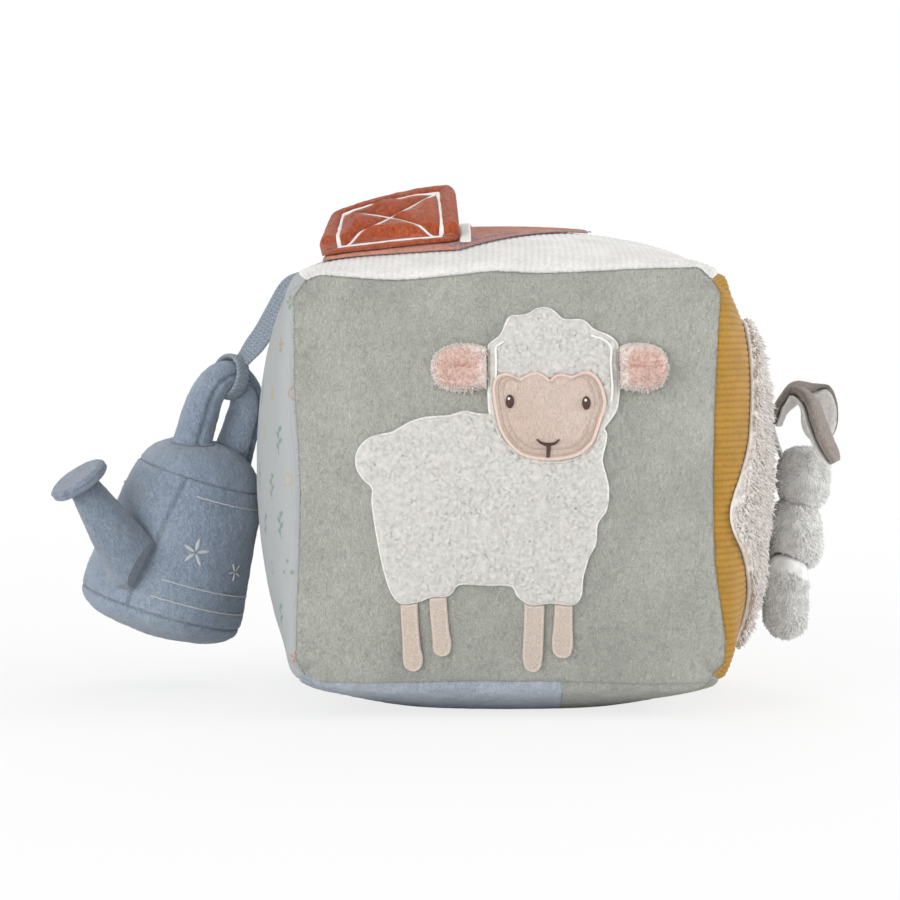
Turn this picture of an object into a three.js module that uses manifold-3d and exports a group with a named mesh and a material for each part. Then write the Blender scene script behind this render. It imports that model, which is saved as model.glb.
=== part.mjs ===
// Soft activity cube: six stuffed cloth sides, each with its own sewn-on toy.
// Millimetres, +Z up. Origin on the ground under the middle of the cube; the sheep side faces -Y.

import * as THREE from "three";
import { mergeVertices } from "three/addons/utils/BufferGeometryUtils.js";
import Module from "manifold-3d";

const wasm = await Module();
wasm.setup();

// Clearances shared by everything
const seatGap = 0.3; // between two pieces that touch
const sewnGap = 0.4; // between a sewn-on piece and the curved cloth under it
const cutOverrun = 6; // how far a cutting solid passes what it cuts

// Stuffed cube
const halfWidth = 75; // seam to seam along X, halved
const halfDepth = 75; // along Y, halved
const halfHeight = 73; // along Z, halved
const bottomSeamHeight = 12.7; // bottom seams above the ground
const seamDraw = 2.5; // how far a seam is drawn in at its middle
const frontCrown = 11;
const backCrown = 13;
const leftCrown = 18;
const rightCrown = 19.5;
const topCrown = 14;
const bottomCrown = 18;
const clothThickness = 2;
const seamHalfGap = 0.25;
const bottomSplitX = 20; // where the two bottom cloths meet
const panelSteps = 8;
const fullCrownShare = 0.8; // crown powers: a low power is fuller towards the seams
const plumpCrownShare = 0.5;

// Rattle in the middle of the filling
const rattleRadius = 18;
const rattleWall = 1.6;
const rattleBeadRadius = 3;
const rattleBeadCircle = 7; // the beads lie on a circle of this radius

// Sheep on the front
const sheepLength = 87.7;
const sheepX = -9.8; // middle of the sheep's body from the cube's middle
const sheepZ = -9.9;
const fleeceThickness = 3.1;
const faceThickness = 1.6;
const faceSink = 1.0; // how deep the face is set into the fleece
const stitchThickness = 0.8; // raised satin stitching
const sheepLegWidth = 7.6;
const sheepLegDepth = 1;
const eyeWidth = 3.3;
const eyeHeight = 5;
const noseWidth = 7.4;
const noseHeight = 6.6;
const noseLine = 1.3; // width of the stitched lines of the nose
const sheepEarLeftLength = 19.6;
const sheepEarRightLength = 17.4;
const sheepEarHeight = 16.4;
const sheepEarBack = 2.4; // thickness of the ear's back cloth
const sheepEarPad = 2.6; // extra height in the middle of the ear's pink front

// Barn and its padded door on the top
const barnX = -66; // foot of the barn, which lies with its ridge to the right
const barnLength = 97;
const barnDepth = 116;
const barnThickness = 1.3;
const barWidth = 4; // white bar under the barn's roof
const barThickness = 0.8;
const doorWidth = 48.5;
const doorDepth = 30;
const doorShare = 0.2505; // middle of the door along the barn
const doorX = barnX + doorShare * barnLength;
const doorFrontY = -46;
const doorCorner = 6;
const doorBack = 2.5; // back cloth with its padding
const crinkleThickness = 0.4;
const crinkleInset = 3;
const doorFront = 1.2; // front cloth at the edge
const doorPad = 2.6; // extra height in the middle of the front
const doorHingeHeight = 3.4; // hinge line above the cube's cloth
const doorRestAngle = 24; // degrees open at rest

// Ribbon that carries the watering can
const ribbonY = 25;
const ribbonWidth = 9.5;
const ribbonThickness = 2.4;
const ribbonDrop = 40.5; // from the seam down to the middle of the loop
const ribbonReach = 31; // from the seam out to the middle of the loop
const loopClearance = 1.25; // round the handle, whose arch bends inside the loop
const loopThickness = 2;
const loopWidth = 6;

// Watering can, along its own axis from the base seam
const canLean = 17; // degrees towards the cube
const canTurn = 220; // degrees about its axis, spout to the front
const canBaseRadius = 31.5;
const canTopRadius = 24;
const canHeight = 55; // base seam to top seam
const canBaseSag = 8;
const canDome = 13.5;
const canCloth = 1.6;
const canSides = 20;
const handleRadius = 13; // of the arch
const handleTop = 94; // middle of the bar above the base seam
const handleBar = 5.6; // radius of the bar at the top
const handleFoot = 7.2; // radius of the bar at its feet
const spoutLength = 36.5;
const spoutLift = 40; // degrees above the can's base
const spoutPlace = 25; // degrees round the can from the handle's line
const spoutSwing = -22; // degrees round, the way the spout points
const spoutStart = 29.5; // from the can's axis
const spoutStartHeight = 18;
const spoutFoot = 11.5; // radius where it leaves the can
const roseRadius = 11.8;
const roseThickness = 4.6;

// Fluffy patch on the right
const patchLift = 0.8; // backing between the pile and the corduroy
const patchThickness = 2.4;
const patchFoot = 22; // lowest edge above the ground
const patchHeight = 117;
const patchNearY = -70; // its nearest point to the front
const patchFarY = 60;

// Small plush animal that hangs on the patch
const animalTabHeight = 108; // above the ground
const tabWidth = 8;
const tabThickness = 2;
const tabLength = 20;
const headWidth = 26; // along Y
const headDepth = 19; // along X
const headHeight = 23;
const headDrop = 28; // from the tab's top to the middle of the head
const headReach = 13.5;
const torsoWidth = 29;
const torsoDepth = 19.4;
const torsoHeight = 26;
const torsoDrop = 48;
const torsoReach = 10.6;
const hipDrop = 63;
const hipSpread = 8.3;
const hipReach = 6.8;
const hipRadius = 7.9;
const hipGap = 0.9;
const legLength = 16.7;
const footRadius = 7;
const earThickness = 1.7;
const earLayerGap = 0.55; // between an ear's velour and its lining
const earRootWidth = 9;
const earWidth = 14;
const earSpread = 10; // how far an ear moves sideways along its length
const earRootDrop = 7;
const earRise = 11;
const earReach = 21;

const degree = Math.PI / 180;
const xAxis = new THREE.Vector3(1, 0, 0);
const yAxis = new THREE.Vector3(0, 1, 0);
const zAxis = new THREE.Vector3(0, 0, 1);
const centreHeight = bottomSeamHeight + halfHeight;

// Solids

function toSolid(geometry) {
  const bare = geometry.clone();
  bare.deleteAttribute("normal");
  bare.deleteAttribute("uv");
  const merged = mergeVertices(bare, 1e-4);
  const corners = merged.index.array;
  const kept = [];
  for (let i = 0; i < corners.length; i += 3) {
    const [a, b, c] = [corners[i], corners[i + 1], corners[i + 2]];
    if (a !== b && b !== c && c !== a) kept.push(a, b, c);
  }
  const build = (triVerts) =>
    new wasm.Manifold(
      new wasm.Mesh({
        numProp: 3,
        vertProperties: new Float32Array(merged.attributes.position.array),
        triVerts: new Uint32Array(triVerts),
      }),
    );
  const solid = build(kept);
  if (solid.volume() > 0) return solid;
  return build(kept.reverse());
}

function toGeometry(solid) {
  const mesh = solid.getMesh();
  const positions = new Float32Array(mesh.numVert * 3);
  for (let i = 0; i < mesh.numVert; i++) {
    positions.set(mesh.vertProperties.subarray(i * mesh.numProp, i * mesh.numProp + 3), i * 3);
  }
  const geometry = new THREE.BufferGeometry();
  geometry.setAttribute("position", new THREE.BufferAttribute(positions, 3));
  geometry.setIndex(new THREE.BufferAttribute(new Uint32Array(mesh.triVerts), 1));
  geometry.computeVertexNormals();
  return geometry;
}

function cloth(color, roughness = 0.95) {
  return new THREE.MeshStandardMaterial({ color, roughness, metalness: 0 });
}

function addPiece(group, name, solid, material) {
  const mesh = new THREE.Mesh(toGeometry(solid), material);
  mesh.name = name;
  group.add(mesh);
  return mesh;
}

// A closed solid between two grids of points, outer[i][j] and inner[i][j].
function gridSolid(outer, inner) {
  const rows = outer.length;
  const columns = outer[0].length;
  const positions = [];
  for (const grid of [outer, inner]) {
    for (const row of grid) for (const point of row) positions.push(point.x, point.y, point.z);
  }
  const indexOf = (layer, i, j) => layer * rows * columns + i * columns + j;
  const index = [];
  const quad = (a, b, c, d) => index.push(a, b, c, a, c, d);
  for (let i = 0; i + 1 < rows; i++) {
    for (let j = 0; j + 1 < columns; j++) {
      quad(indexOf(0, i, j), indexOf(0, i + 1, j), indexOf(0, i + 1, j + 1), indexOf(0, i, j + 1));
      quad(indexOf(1, i, j), indexOf(1, i, j + 1), indexOf(1, i + 1, j + 1), indexOf(1, i + 1, j));
    }
  }
  for (let i = 0; i + 1 < rows; i++) {
    const last = columns - 1;
    quad(indexOf(0, i, 0), indexOf(1, i, 0), indexOf(1, i + 1, 0), indexOf(0, i + 1, 0));
    quad(indexOf(0, i + 1, last), indexOf(1, i + 1, last), indexOf(1, i, last), indexOf(0, i, last));
  }
  for (let j = 0; j + 1 < columns; j++) {
    const last = rows - 1;
    quad(indexOf(0, 0, j + 1), indexOf(1, 0, j + 1), indexOf(1, 0, j), indexOf(0, 0, j));
    quad(indexOf(0, last, j), indexOf(1, last, j), indexOf(1, last, j + 1), indexOf(0, last, j + 1));
  }
  const geometry = new THREE.BufferGeometry();
  geometry.setAttribute("position", new THREE.Float32BufferAttribute(positions, 3));
  geometry.setIndex(index);
  return toSolid(geometry);
}

// A tube through rings of points, closed at both ends.
function ringSolid(rings) {
  const count = rings[0].length;
  const positions = rings.flat().flatMap((point) => [point.x, point.y, point.z]);
  const index = [];
  for (let i = 0; i + 1 < rings.length; i++) {
    for (let j = 0; j < count; j++) {
      const next = (j + 1) % count;
      const [a, b] = [i * count + j, i * count + next];
      const [c, d] = [a + count, b + count];
      index.push(a, b, d, a, d, c);
    }
  }
  const lastRing = (rings.length - 1) * count;
  for (let j = 1; j + 1 < count; j++) {
    index.push(0, j + 1, j);
    index.push(lastRing, lastRing + j, lastRing + j + 1);
  }
  const geometry = new THREE.BufferGeometry();
  geometry.setAttribute("position", new THREE.Float32BufferAttribute(positions, 3));
  geometry.setIndex(index);
  return toSolid(geometry);
}

// A turned solid about +Z from [radius, height] pairs that start and end on the axis or close on themselves.
function turned(profile, sides = canSides) {
  const points = profile.map(([radius, height]) => new THREE.Vector2(radius, height));
  const geometry = new THREE.LatheGeometry(points, sides);
  geometry.rotateX(Math.PI / 2);
  return toSolid(geometry);
}

// The profile moved towards the inside of the turned solid, along its own normals.
function insetProfile(profile, distance) {
  return profile.map(([radius, height], i) => {
    const [r0, h0] = profile[Math.max(i - 1, 0)];
    const [r1, h1] = profile[Math.min(i + 1, profile.length - 1)];
    const length = Math.hypot(r1 - r0, h1 - h0);
    const isRim = radius > 0 && (i === 0 || i === profile.length - 1);
    if (isRim) return [radius - distance, height];
    const inRadius = radius - ((h1 - h0) / length) * distance;
    const inHeight = height + ((r1 - r0) / length) * distance;
    return radius === 0 ? [0, inHeight] : [Math.max(inRadius, 0), inHeight];
  });
}

// A cloth cover: the profile and its inset, joined at the rims.
function turnedShell(profile, wall, sides = canSides) {
  const inner = insetProfile(profile, wall).reverse();
  const startsOnAxis = profile[0][0] === 0;
  const endsOnAxis = profile[profile.length - 1][0] === 0;
  if (startsOnAxis) return turned([...profile, ...inner], sides);
  if (endsOnAxis) return turned([...inner, ...profile], sides);
  return turned([...profile, ...inner, profile[0]], sides);
}

const unitScale = new THREE.Vector3(1, 1, 1);

function ball(radius, centre, sides = 12) {
  const geometry = new THREE.SphereGeometry(radius, sides, sides / 2);
  geometry.rotateX(Math.PI / 2);
  geometry.translate(centre.x, centre.y, centre.z);
  return toSolid(geometry);
}

// Sides of the cube. Each has u across, v up and w out, from the cube's middle.

function makeSide(across, up, halfU, halfV, halfW, crown, crownPower) {
  const out = new THREE.Vector3().crossVectors(across, up);
  return { across, up, out, halfU, halfV, halfW, crown, crownPower, lowest: Infinity };
}

const front = makeSide(xAxis, zAxis, halfWidth, halfHeight, halfDepth, frontCrown, fullCrownShare);
const left = makeSide(
  yAxis.clone().negate(), zAxis, halfDepth, halfHeight, halfWidth, leftCrown, plumpCrownShare,
);
const back = makeSide(
  xAxis.clone().negate(), zAxis, halfWidth, halfHeight, halfDepth, backCrown, fullCrownShare,
);
const right = makeSide(yAxis, zAxis, halfDepth, halfHeight, halfWidth, rightCrown, plumpCrownShare);
const top = makeSide(xAxis, yAxis, halfWidth, halfDepth, halfHeight, topCrown, plumpCrownShare);
const bottom = makeSide(
  xAxis, yAxis.clone().negate(), halfWidth, halfDepth, halfHeight, bottomCrown, plumpCrownShare,
);
bottom.lowest = centreHeight; // the underside is flat where it rests on the ground

// A point of a side at a and b from -1 to 1, with the whole side moved in by inset.
function sidePoint(side, a, b, inset, edgeGap = 0) {
  const drawA = seamDraw * (1 - b * b);
  const drawB = seamDraw * (1 - a * a);
  const swell = Math.pow(Math.max((1 - a * a) * (1 - b * b), 0), side.crownPower);
  const u = a * (side.halfU - drawA - inset - edgeGap);
  const v = b * (side.halfV - drawB - inset - edgeGap);
  const w = side.halfW - drawA * a ** 4 - drawB * b ** 4 + side.crown * swell - inset;
  return new THREE.Vector3(u, v, Math.min(w, side.lowest - inset));
}

// Height of a side's outer face over the point u, v.
function faceHeight(side, u, v) {
  let a = u / side.halfU;
  let b = v / side.halfV;
  for (let i = 0; i < 8; i++) {
    a = THREE.MathUtils.clamp(u / (side.halfU - seamDraw * (1 - b * b)), -1, 1);
    b = THREE.MathUtils.clamp(v / (side.halfV - seamDraw * (1 - a * a)), -1, 1);
  }
  return sidePoint(side, a, b, 0).z;
}

function facePoint(side, u, v, offset = 0) {
  const step = side.halfU / 100;
  const height = faceHeight(side, u, v);
  const slopeU = (faceHeight(side, u + step, v) - faceHeight(side, u - step, v)) / (2 * step);
  const slopeV = (faceHeight(side, u, v + step) - faceHeight(side, u, v - step)) / (2 * step);
  const normal = new THREE.Vector3(-slopeU, -slopeV, 1).normalize();
  return new THREE.Vector3(u, v, height).addScaledVector(normal, offset);
}

// The same point in the part's own frame.
function worldPoint(side, local) {
  return new THREE.Vector3(0, 0, centreHeight)
    .addScaledVector(side.across, local.x)
    .addScaledVector(side.up, local.y)
    .addScaledVector(side.out, local.z);
}

function sideGroup(side) {
  const group = new THREE.Group();
  const turn = new THREE.Matrix4().makeBasis(side.across, side.up, side.out);
  group.quaternion.setFromRotationMatrix(turn);
  group.position.set(0, 0, centreHeight);
  return group;
}

// Grid positions crowd towards the seams, where the cloth turns most.
function gridShare(i) {
  return Math.sin((Math.PI / 2) * ((2 * i) / panelSteps - 1));
}

function sideGrid(side, inset, edgeGap) {
  const rows = [];
  for (let i = 0; i <= panelSteps; i++) {
    const row = [];
    for (let j = 0; j <= panelSteps; j++) {
      row.push(sidePoint(side, gridShare(i), gridShare(j), inset, edgeGap));
    }
    rows.push(row);
  }
  return rows;
}

function panelSolid(side) {
  return gridSolid(sideGrid(side, 0, seamHalfGap), sideGrid(side, clothThickness, seamHalfGap));
}

// A layer that follows a side between two heights above its face, over a rectangle.
function layerOver(side, box, step, low, high) {
  const heightOf = (level, u, v) => (typeof level === "function" ? level(u, v) : level);
  const countU = Math.ceil((box.max.x - box.min.x) / step);
  const countV = Math.ceil((box.max.y - box.min.y) / step);
  const grid = (level) => {
    const rows = [];
    for (let i = 0; i <= countU; i++) {
      const u = THREE.MathUtils.lerp(box.min.x, box.max.x, i / countU);
      const row = [];
      for (let j = 0; j <= countV; j++) {
        const v = THREE.MathUtils.lerp(box.min.y, box.max.y, j / countV);
        row.push(facePoint(side, u, v, heightOf(level, u, v)));
      }
      rows.push(row);
    }
    return rows;
  };
  return gridSolid(grid(high), grid(low));
}

// Outlines: lists of Vector2 in a side's u and v.

function outlineFrom(shares, size, centre, samples = 0) {
  const points = shares.map(([x, y]) => new THREE.Vector2(x, y).multiplyScalar(size).add(centre));
  if (!samples) return points;
  const corners = points.map((point) => new THREE.Vector3(point.x, point.y, 0));
  const curve = new THREE.CatmullRomCurve3(corners, true, "catmullrom");
  return curve.getPoints(samples).slice(0, -1).map((point) => new THREE.Vector2(point.x, point.y));
}

function grown(outline, distance) {
  return outline.map((point, i) => {
    const before = outline[(i + outline.length - 1) % outline.length];
    const after = outline[(i + 1) % outline.length];
    const along = after.clone().sub(before).normalize();
    const turn = THREE.ShapeUtils.isClockWise(outline) ? -1 : 1;
    return new THREE.Vector2(along.y, -along.x).multiplyScalar(distance * turn).add(point);
  });
}

function outlineBox(outline, margin) {
  return new THREE.Box2().setFromPoints(outline).expandByScalar(margin);
}

function prism(outline, from, to) {
  const geometry = new THREE.ExtrudeGeometry(new THREE.Shape(outline), {
    depth: to - from,
    bevelEnabled: false,
  });
  geometry.translate(0, 0, from);
  return toSolid(geometry);
}

// A sewn-on piece: its outline cut out of a layer that follows the side.
function applique(side, outline, low, high, step) {
  const layer = layerOver(side, outlineBox(outline, seatGap), step, low, high);
  return layer.intersect(columnOver(side, outline));
}

function columnOver(side, outline) {
  return prism(outline, side.halfW - cutOverrun, side.halfW + side.crown * 2 + cutOverrun);
}

function arcOutline(centreX, centreY, radiusX, radiusY, count) {
  const points = [];
  for (let i = 0; i < count; i++) {
    const angle = (2 * Math.PI * i) / count;
    points.push(
      new THREE.Vector2(centreX + radiusX * Math.cos(angle), centreY + radiusY * Math.sin(angle)),
    );
  }
  return points;
}

// Cube: cloth panels round a block of filling with a rattle in its middle

function fillingBlock(inset) {
  const positions = [];
  for (const side of [front, left, back, right, top, bottom]) {
    const grid = sideGrid(side, inset, 0);
    for (let i = 0; i < panelSteps; i++) {
      for (let j = 0; j < panelSteps; j++) {
        const corners = [grid[i][j], grid[i + 1][j], grid[i + 1][j + 1], grid[i][j + 1]];
        const [a, b, c, d] = corners.map((corner) => worldPoint(side, corner));
        for (const point of [a, b, c, a, c, d]) positions.push(point.x, point.y, point.z);
      }
    }
  }
  const geometry = new THREE.BufferGeometry();
  geometry.setAttribute("position", new THREE.Float32BufferAttribute(positions, 3));
  return toSolid(geometry);
}

function uprightCylinder(radius, from, to, sides) {
  const geometry = new THREE.CylinderGeometry(radius, radius, to - from, sides);
  geometry.rotateX(Math.PI / 2);
  geometry.translate(0, 0, (from + to) / 2);
  return toSolid(geometry);
}

function addFilling(group) {
  const white = cloth(0xf2f0ea);
  const block = fillingBlock(clothThickness + sewnGap);
  const rattleReach = rattleRadius + seatGap * 1.5;
  const ceiling = centreHeight + halfHeight + topCrown + cutOverrun;
  const pocketFloor = centreHeight - rattleReach;
  const pocket = uprightCylinder(rattleRadius + sewnGap * 1.5, pocketFloor, ceiling, canSides);
  const plugFloor = centreHeight + rattleReach;
  const plugShape = uprightCylinder(rattleRadius, plugFloor, ceiling, canSides);
  addPiece(group, "filling_core", block.subtract(pocket), white);
  addPiece(group, "filling_plug", block.intersect(plugShape), white);
}

function addRattle(group) {
  const plastic = cloth(0xe8e2d0, 0.5);
  const arc = (radius, from, to) => {
    const points = [];
    const steps = 4;
    for (let i = 0; i <= steps; i++) {
      const angle = THREE.MathUtils.lerp(from, to, i / steps) * degree;
      const onAxis = Math.abs(Math.cos(angle)) < 1e-9;
      points.push([onAxis ? 0 : radius * Math.cos(angle), radius * Math.sin(angle)]);
    }
    return points;
  };
  const sides = 14;
  const half = [...arc(rattleRadius, -90, 0), ...arc(rattleRadius - rattleWall, 0, -90)];
  const lower = turned(half, sides);
  const rattle = new THREE.Group();
  rattle.position.z = centreHeight;
  group.add(rattle);
  const upper = lower.rotate([180, 0, 0]);
  addPiece(rattle, "rattle_shell_lower", lower.translate([0, 0, -seatGap / 2]), plastic);
  addPiece(rattle, "rattle_shell_upper", upper.translate([0, 0, seatGap / 2]), plastic);
  const bowl = rattleRadius - rattleWall - rattleBeadRadius - seatGap * 2;
  const beadZ = -Math.sqrt(bowl * bowl - rattleBeadCircle * rattleBeadCircle);
  for (let i = 0; i < 3; i++) {
    const turn = (i * 2 * Math.PI) / 3;
    const bead = new THREE.Mesh(
      toGeometry(ball(rattleBeadRadius, new THREE.Vector3(), 8)),
      cloth(0xc86a4a, 0.4),
    );
    bead.name = "rattle_bead_" + (i + 1);
    bead.position.set(rattleBeadCircle * Math.cos(turn), rattleBeadCircle * Math.sin(turn), beadZ);
    rattle.add(bead);
  }
}

function addPanels(group) {
  const sage = cloth(0xa3a692);
  const panels = [
    [front, "front_panel", sage],
    [back, "back_panel", cloth(0xb8b4a6)],
    [left, "left_panel", cloth(0xc3ccd2)],
    [right, "right_panel", cloth(0xc69a45)],
    [top, "top_panel", cloth(0xe9e6e2)],
  ];
  for (const [side, name, material] of panels) {
    const holder = sideGroup(side);
    addPiece(holder, name, panelSolid(side), material);
    group.add(holder);
  }
  const holder = sideGroup(bottom);
  const whole = panelSolid(bottom);
  const halfBox = (from, to) => {
    const length = to - from;
    const geometry = new THREE.BoxGeometry(length, halfDepth * 4, halfHeight * 4);
    geometry.translate((from + to) / 2, 0, 0);
    return toSolid(geometry);
  };
  const blueSide = halfBox(-halfWidth * 2, bottomSplitX - seatGap / 2);
  const sageSide = halfBox(bottomSplitX + seatGap / 2, halfWidth * 2);
  addPiece(holder, "bottom_panel_blue", whole.intersect(blueSide), cloth(0x9fabb9));
  addPiece(holder, "bottom_panel_sage", whole.intersect(sageSide), sage);
  group.add(holder);
}

// Sheep. Shares of its length, from the middle of its body.
const bodyShares = [
  [0.018, 0.381], [-0.064, 0.394], [-0.133, 0.376], [-0.216, 0.37], [-0.284, 0.349],
  [-0.354, 0.308], [-0.395, 0.298], [-0.45, 0.28], [-0.491, 0.232], [-0.498, 0.17],
  [-0.47, 0.115], [-0.436, 0.08], [-0.436, 0.012], [-0.416, -0.126], [-0.395, -0.236],
  [-0.367, -0.332], [-0.326, -0.381], [-0.257, -0.374], [-0.202, -0.354], [-0.133, -0.347],
  [-0.092, -0.305], [0.018, -0.308], [0.115, -0.312], [0.142, -0.354], [0.198, -0.388],
  [0.28, -0.381], [0.363, -0.388], [0.397, -0.354], [0.404, -0.278], [0.425, -0.195],
  [0.452, -0.14], [0.459, -0.058], [0.494, -0.002], [0.5, 0.094], [0.48, 0.163],
  [0.487, 0.218], [0.498, 0.27], [0.5, 0.33],
];
const headShares = [
  [0.018, 0.632], [0.025, 0.494], [0.046, 0.384], [0.087, 0.273], [0.156, 0.218],
  [0.239, 0.198], [0.322, 0.204], [0.432, 0.232], [0.494, 0.314], [0.542, 0.397],
  [0.549, 0.549], [0.549, 0.673], [0.514, 0.714], [0.432, 0.755], [0.363, 0.776],
  [0.266, 0.804], [0.184, 0.776], [0.101, 0.748], [0.06, 0.714], [0.018, 0.673],
];
const faceShares = [
  [0.052, 0.476], [0.06, 0.416], [0.08, 0.329], [0.124, 0.27], [0.172, 0.232],
  [0.26, 0.218], [0.324, 0.226], [0.378, 0.248], [0.427, 0.286], [0.46, 0.346],
  [0.476, 0.416], [0.478, 0.476], [0.46, 0.524], [0.416, 0.562], [0.362, 0.54],
  [0.324, 0.552], [0.27, 0.518], [0.211, 0.556], [0.156, 0.52], [0.086, 0.554],
];
const sheepLegShares = [
  [-0.29, -0.644], [-0.172, -0.588], [0.21, -0.644], [0.328, -0.596],
]; // middle and foot of each leg
const eyeShares = [[0.114, 0.443], [0.408, 0.434]];
const noseShare = [0.26, 0.252];
const sheepEarRootShares = [[0.018, 0.566], [0.549, 0.57]]; // middle of each ear's root
const earSideShares = [
  [0.2, -0.47], [0.55, -0.5], [0.85, -0.38], [1, 0], [0.88, 0.36], [0.6, 0.49], [0.2, 0.5],
];
const earRootShare = 0.43; // half the height of an ear's root
const earInnerLengthShare = 0.94; // pink front against the ear's back
const earInnerHeightShare = 0.9;
const legTopShare = 0.86; // width of a leg where it meets the body

function earOutline(root, direction, length, height) {
  const path = new THREE.Shape();
  const at = ([x, y]) => new THREE.Vector2(root.x + direction * x * length, root.y + y * height);
  path.moveTo(root.x, root.y - earRootShare * height);
  path.splineThru(earSideShares.map(at));
  path.lineTo(root.x, root.y + earRootShare * height);
  return path.getSpacedPoints(18).slice(0, -1);
}

function addSheep(group) {
  const holder = sideGroup(front);
  group.add(holder);
  const middle = new THREE.Vector2(sheepX, sheepZ);
  const at = ([x, y]) => new THREE.Vector2(x, y).multiplyScalar(sheepLength).add(middle);
  const fleece = cloth(0xeeece8);
  const thread = cloth(0xe3cfc2);
  const brown = cloth(0x4c332c, 0.6);
  const fleeceTop = sewnGap + fleeceThickness;
  const step = sheepLength / 8;

  const headOutline = outlineFrom(headShares, sheepLength, middle, 36);
  const bodyOutline = outlineFrom(bodyShares, sheepLength, middle, 50);
  const faceOutline = outlineFrom(faceShares, sheepLength, middle, 34);
  const headRoom = columnOver(front, grown(headOutline, seatGap));
  const bodyRoom = columnOver(front, grown(bodyOutline, seatGap));

  const body = applique(front, bodyOutline, sewnGap, fleeceTop, step).subtract(headRoom);
  addPiece(holder, "sheep_body_fleece", largest(body), fleece);

  const faceLow = fleeceTop - faceSink;
  const faceHigh = faceLow + faceThickness;
  const recess = applique(
    front, grown(faceOutline, seatGap), faceLow - seatGap, faceHigh + cutOverrun, step,
  );
  const head = applique(front, headOutline, sewnGap, fleeceTop, step).subtract(recess);
  addPiece(holder, "sheep_head_fleece", head, fleece);
  addPiece(holder, "sheep_face", applique(front, faceOutline, faceLow, faceHigh, step), cloth(0xd9c7bd));

  const stitchLow = faceHigh + seatGap;
  const stitchHigh = stitchLow + stitchThickness;
  eyeShares.forEach((share, i) => {
    const eye = at(share);
    const outline = arcOutline(eye.x, eye.y, eyeWidth / 2, eyeHeight / 2, 12);
    const name = ["sheep_eye_left", "sheep_eye_right"][i];
    addPiece(holder, name, applique(front, outline, stitchLow, stitchHigh, eyeHeight), brown);
  });
  const nose = noseOutline(at(noseShare));
  addPiece(holder, "sheep_nose", applique(front, nose, stitchLow, stitchHigh, noseHeight), brown);

  sheepLegShares.forEach((share, i) => {
    const foot = at(share);
    const outline = legOutline(foot);
    const leg = applique(front, outline, sewnGap, sewnGap + sheepLegDepth, sheepLegWidth);
    addPiece(holder, "sheep_leg_" + (i + 1), leg.subtract(bodyRoom), thread);
  });
  addSheepEars(holder, at, headRoom);
}

function largest(solid) {
  return solid.decompose().reduce((most, one) => (one.volume() > most.volume() ? one : most));
}

function noseOutline(tip) {
  const half = noseWidth / 2;
  const line = noseLine / 2;
  const fork = noseHeight / 3; // where the two upper lines meet the stem
  const points = [
    [-line, -noseHeight / 2], [line, -noseHeight / 2], [line, fork - line], [half, noseHeight / 2 - line],
    [half - line, noseHeight / 2], [0, fork + line], [-half + line, noseHeight / 2],
    [-half, noseHeight / 2 - line], [-line, fork - line],
  ];
  return points.map(([x, y]) => new THREE.Vector2(tip.x + x, tip.y + y));
}

function legOutline(foot) {
  const radius = sheepLegWidth / 2;
  const points = [];
  const steps = 8;
  for (let i = 0; i <= steps; i++) {
    const angle = Math.PI + (Math.PI * i) / steps;
    const rise = radius + radius * Math.sin(angle);
    points.push(new THREE.Vector2(foot.x + radius * Math.cos(angle), foot.y + rise));
  }
  const tall = sheepLength / 3; // runs up under the body, which trims it
  points.push(new THREE.Vector2(foot.x + radius * legTopShare, foot.y + tall));
  points.push(new THREE.Vector2(foot.x - radius * legTopShare, foot.y + tall));
  return points;
}

function addSheepEars(holder, at, headRoom) {
  const names = ["left", "right"];
  const bodyTop = sewnGap + sheepEarBack;
  sheepEarRootShares.forEach((share, i) => {
    const direction = i === 0 ? -1 : 1;
    const length = i === 0 ? sheepEarLeftLength : sheepEarRightLength;
    const root = at(share);
    root.x += direction * seatGap;
    const outline = earOutline(root, direction, length, sheepEarHeight);
    const inside = earOutline(
      root, direction, length * earInnerLengthShare, sheepEarHeight * earInnerHeightShare,
    );
    const middle = new THREE.Vector2(root.x + (direction * length) / 2, root.y);
    const pad = (u, v) => {
      const across = (u - middle.x) / (length / 2);
      const along = (v - middle.y) / (sheepEarHeight / 2);
      const rise = Math.max(1 - across * across, 0) * Math.max(1 - along * along, 0);
      return bodyTop + seatGap + sheepEarBack / 3 + sheepEarPad * Math.sqrt(rise);
    };
    const step = length / 4;
    const back = applique(front, outline, sewnGap, bodyTop, step).subtract(headRoom);
    const inner = applique(front, inside, bodyTop + seatGap, pad, step).subtract(headRoom);
    addPiece(holder, "sheep_ear_" + names[i] + "_back", largest(back), cloth(0xece9e4));
    addPiece(holder, "sheep_ear_" + names[i] + "_inner", largest(inner), cloth(0xe6c3ba));
  });
}

// Barn on the top, with a padded door that opens towards the front
const barnEaveShare = 0.505; // where the roof starts
const barnShares = [[0, -0.5], [barnEaveShare, -0.5], [1, 0], [barnEaveShare, 0.5], [0, 0.5]];

function roundedRectangle(centreX, centreY, width, height, radius) {
  const path = new THREE.Shape();
  const [x, y] = [centreX - width / 2, centreY - height / 2];
  path.moveTo(x + radius, y);
  path.lineTo(x + width - radius, y);
  path.absarc(x + width - radius, y + radius, radius, -Math.PI / 2, 0, false);
  path.lineTo(x + width, y + height - radius);
  path.absarc(x + width - radius, y + height - radius, radius, 0, Math.PI / 2, false);
  path.lineTo(x + radius, y + height);
  path.absarc(x + radius, y + height - radius, radius, Math.PI / 2, Math.PI, false);
  path.lineTo(x, y + radius);
  path.absarc(x + radius, y + radius, radius, Math.PI, Math.PI * 1.5, false);
  return path.getPoints(4).slice(0, -1);
}

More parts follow.
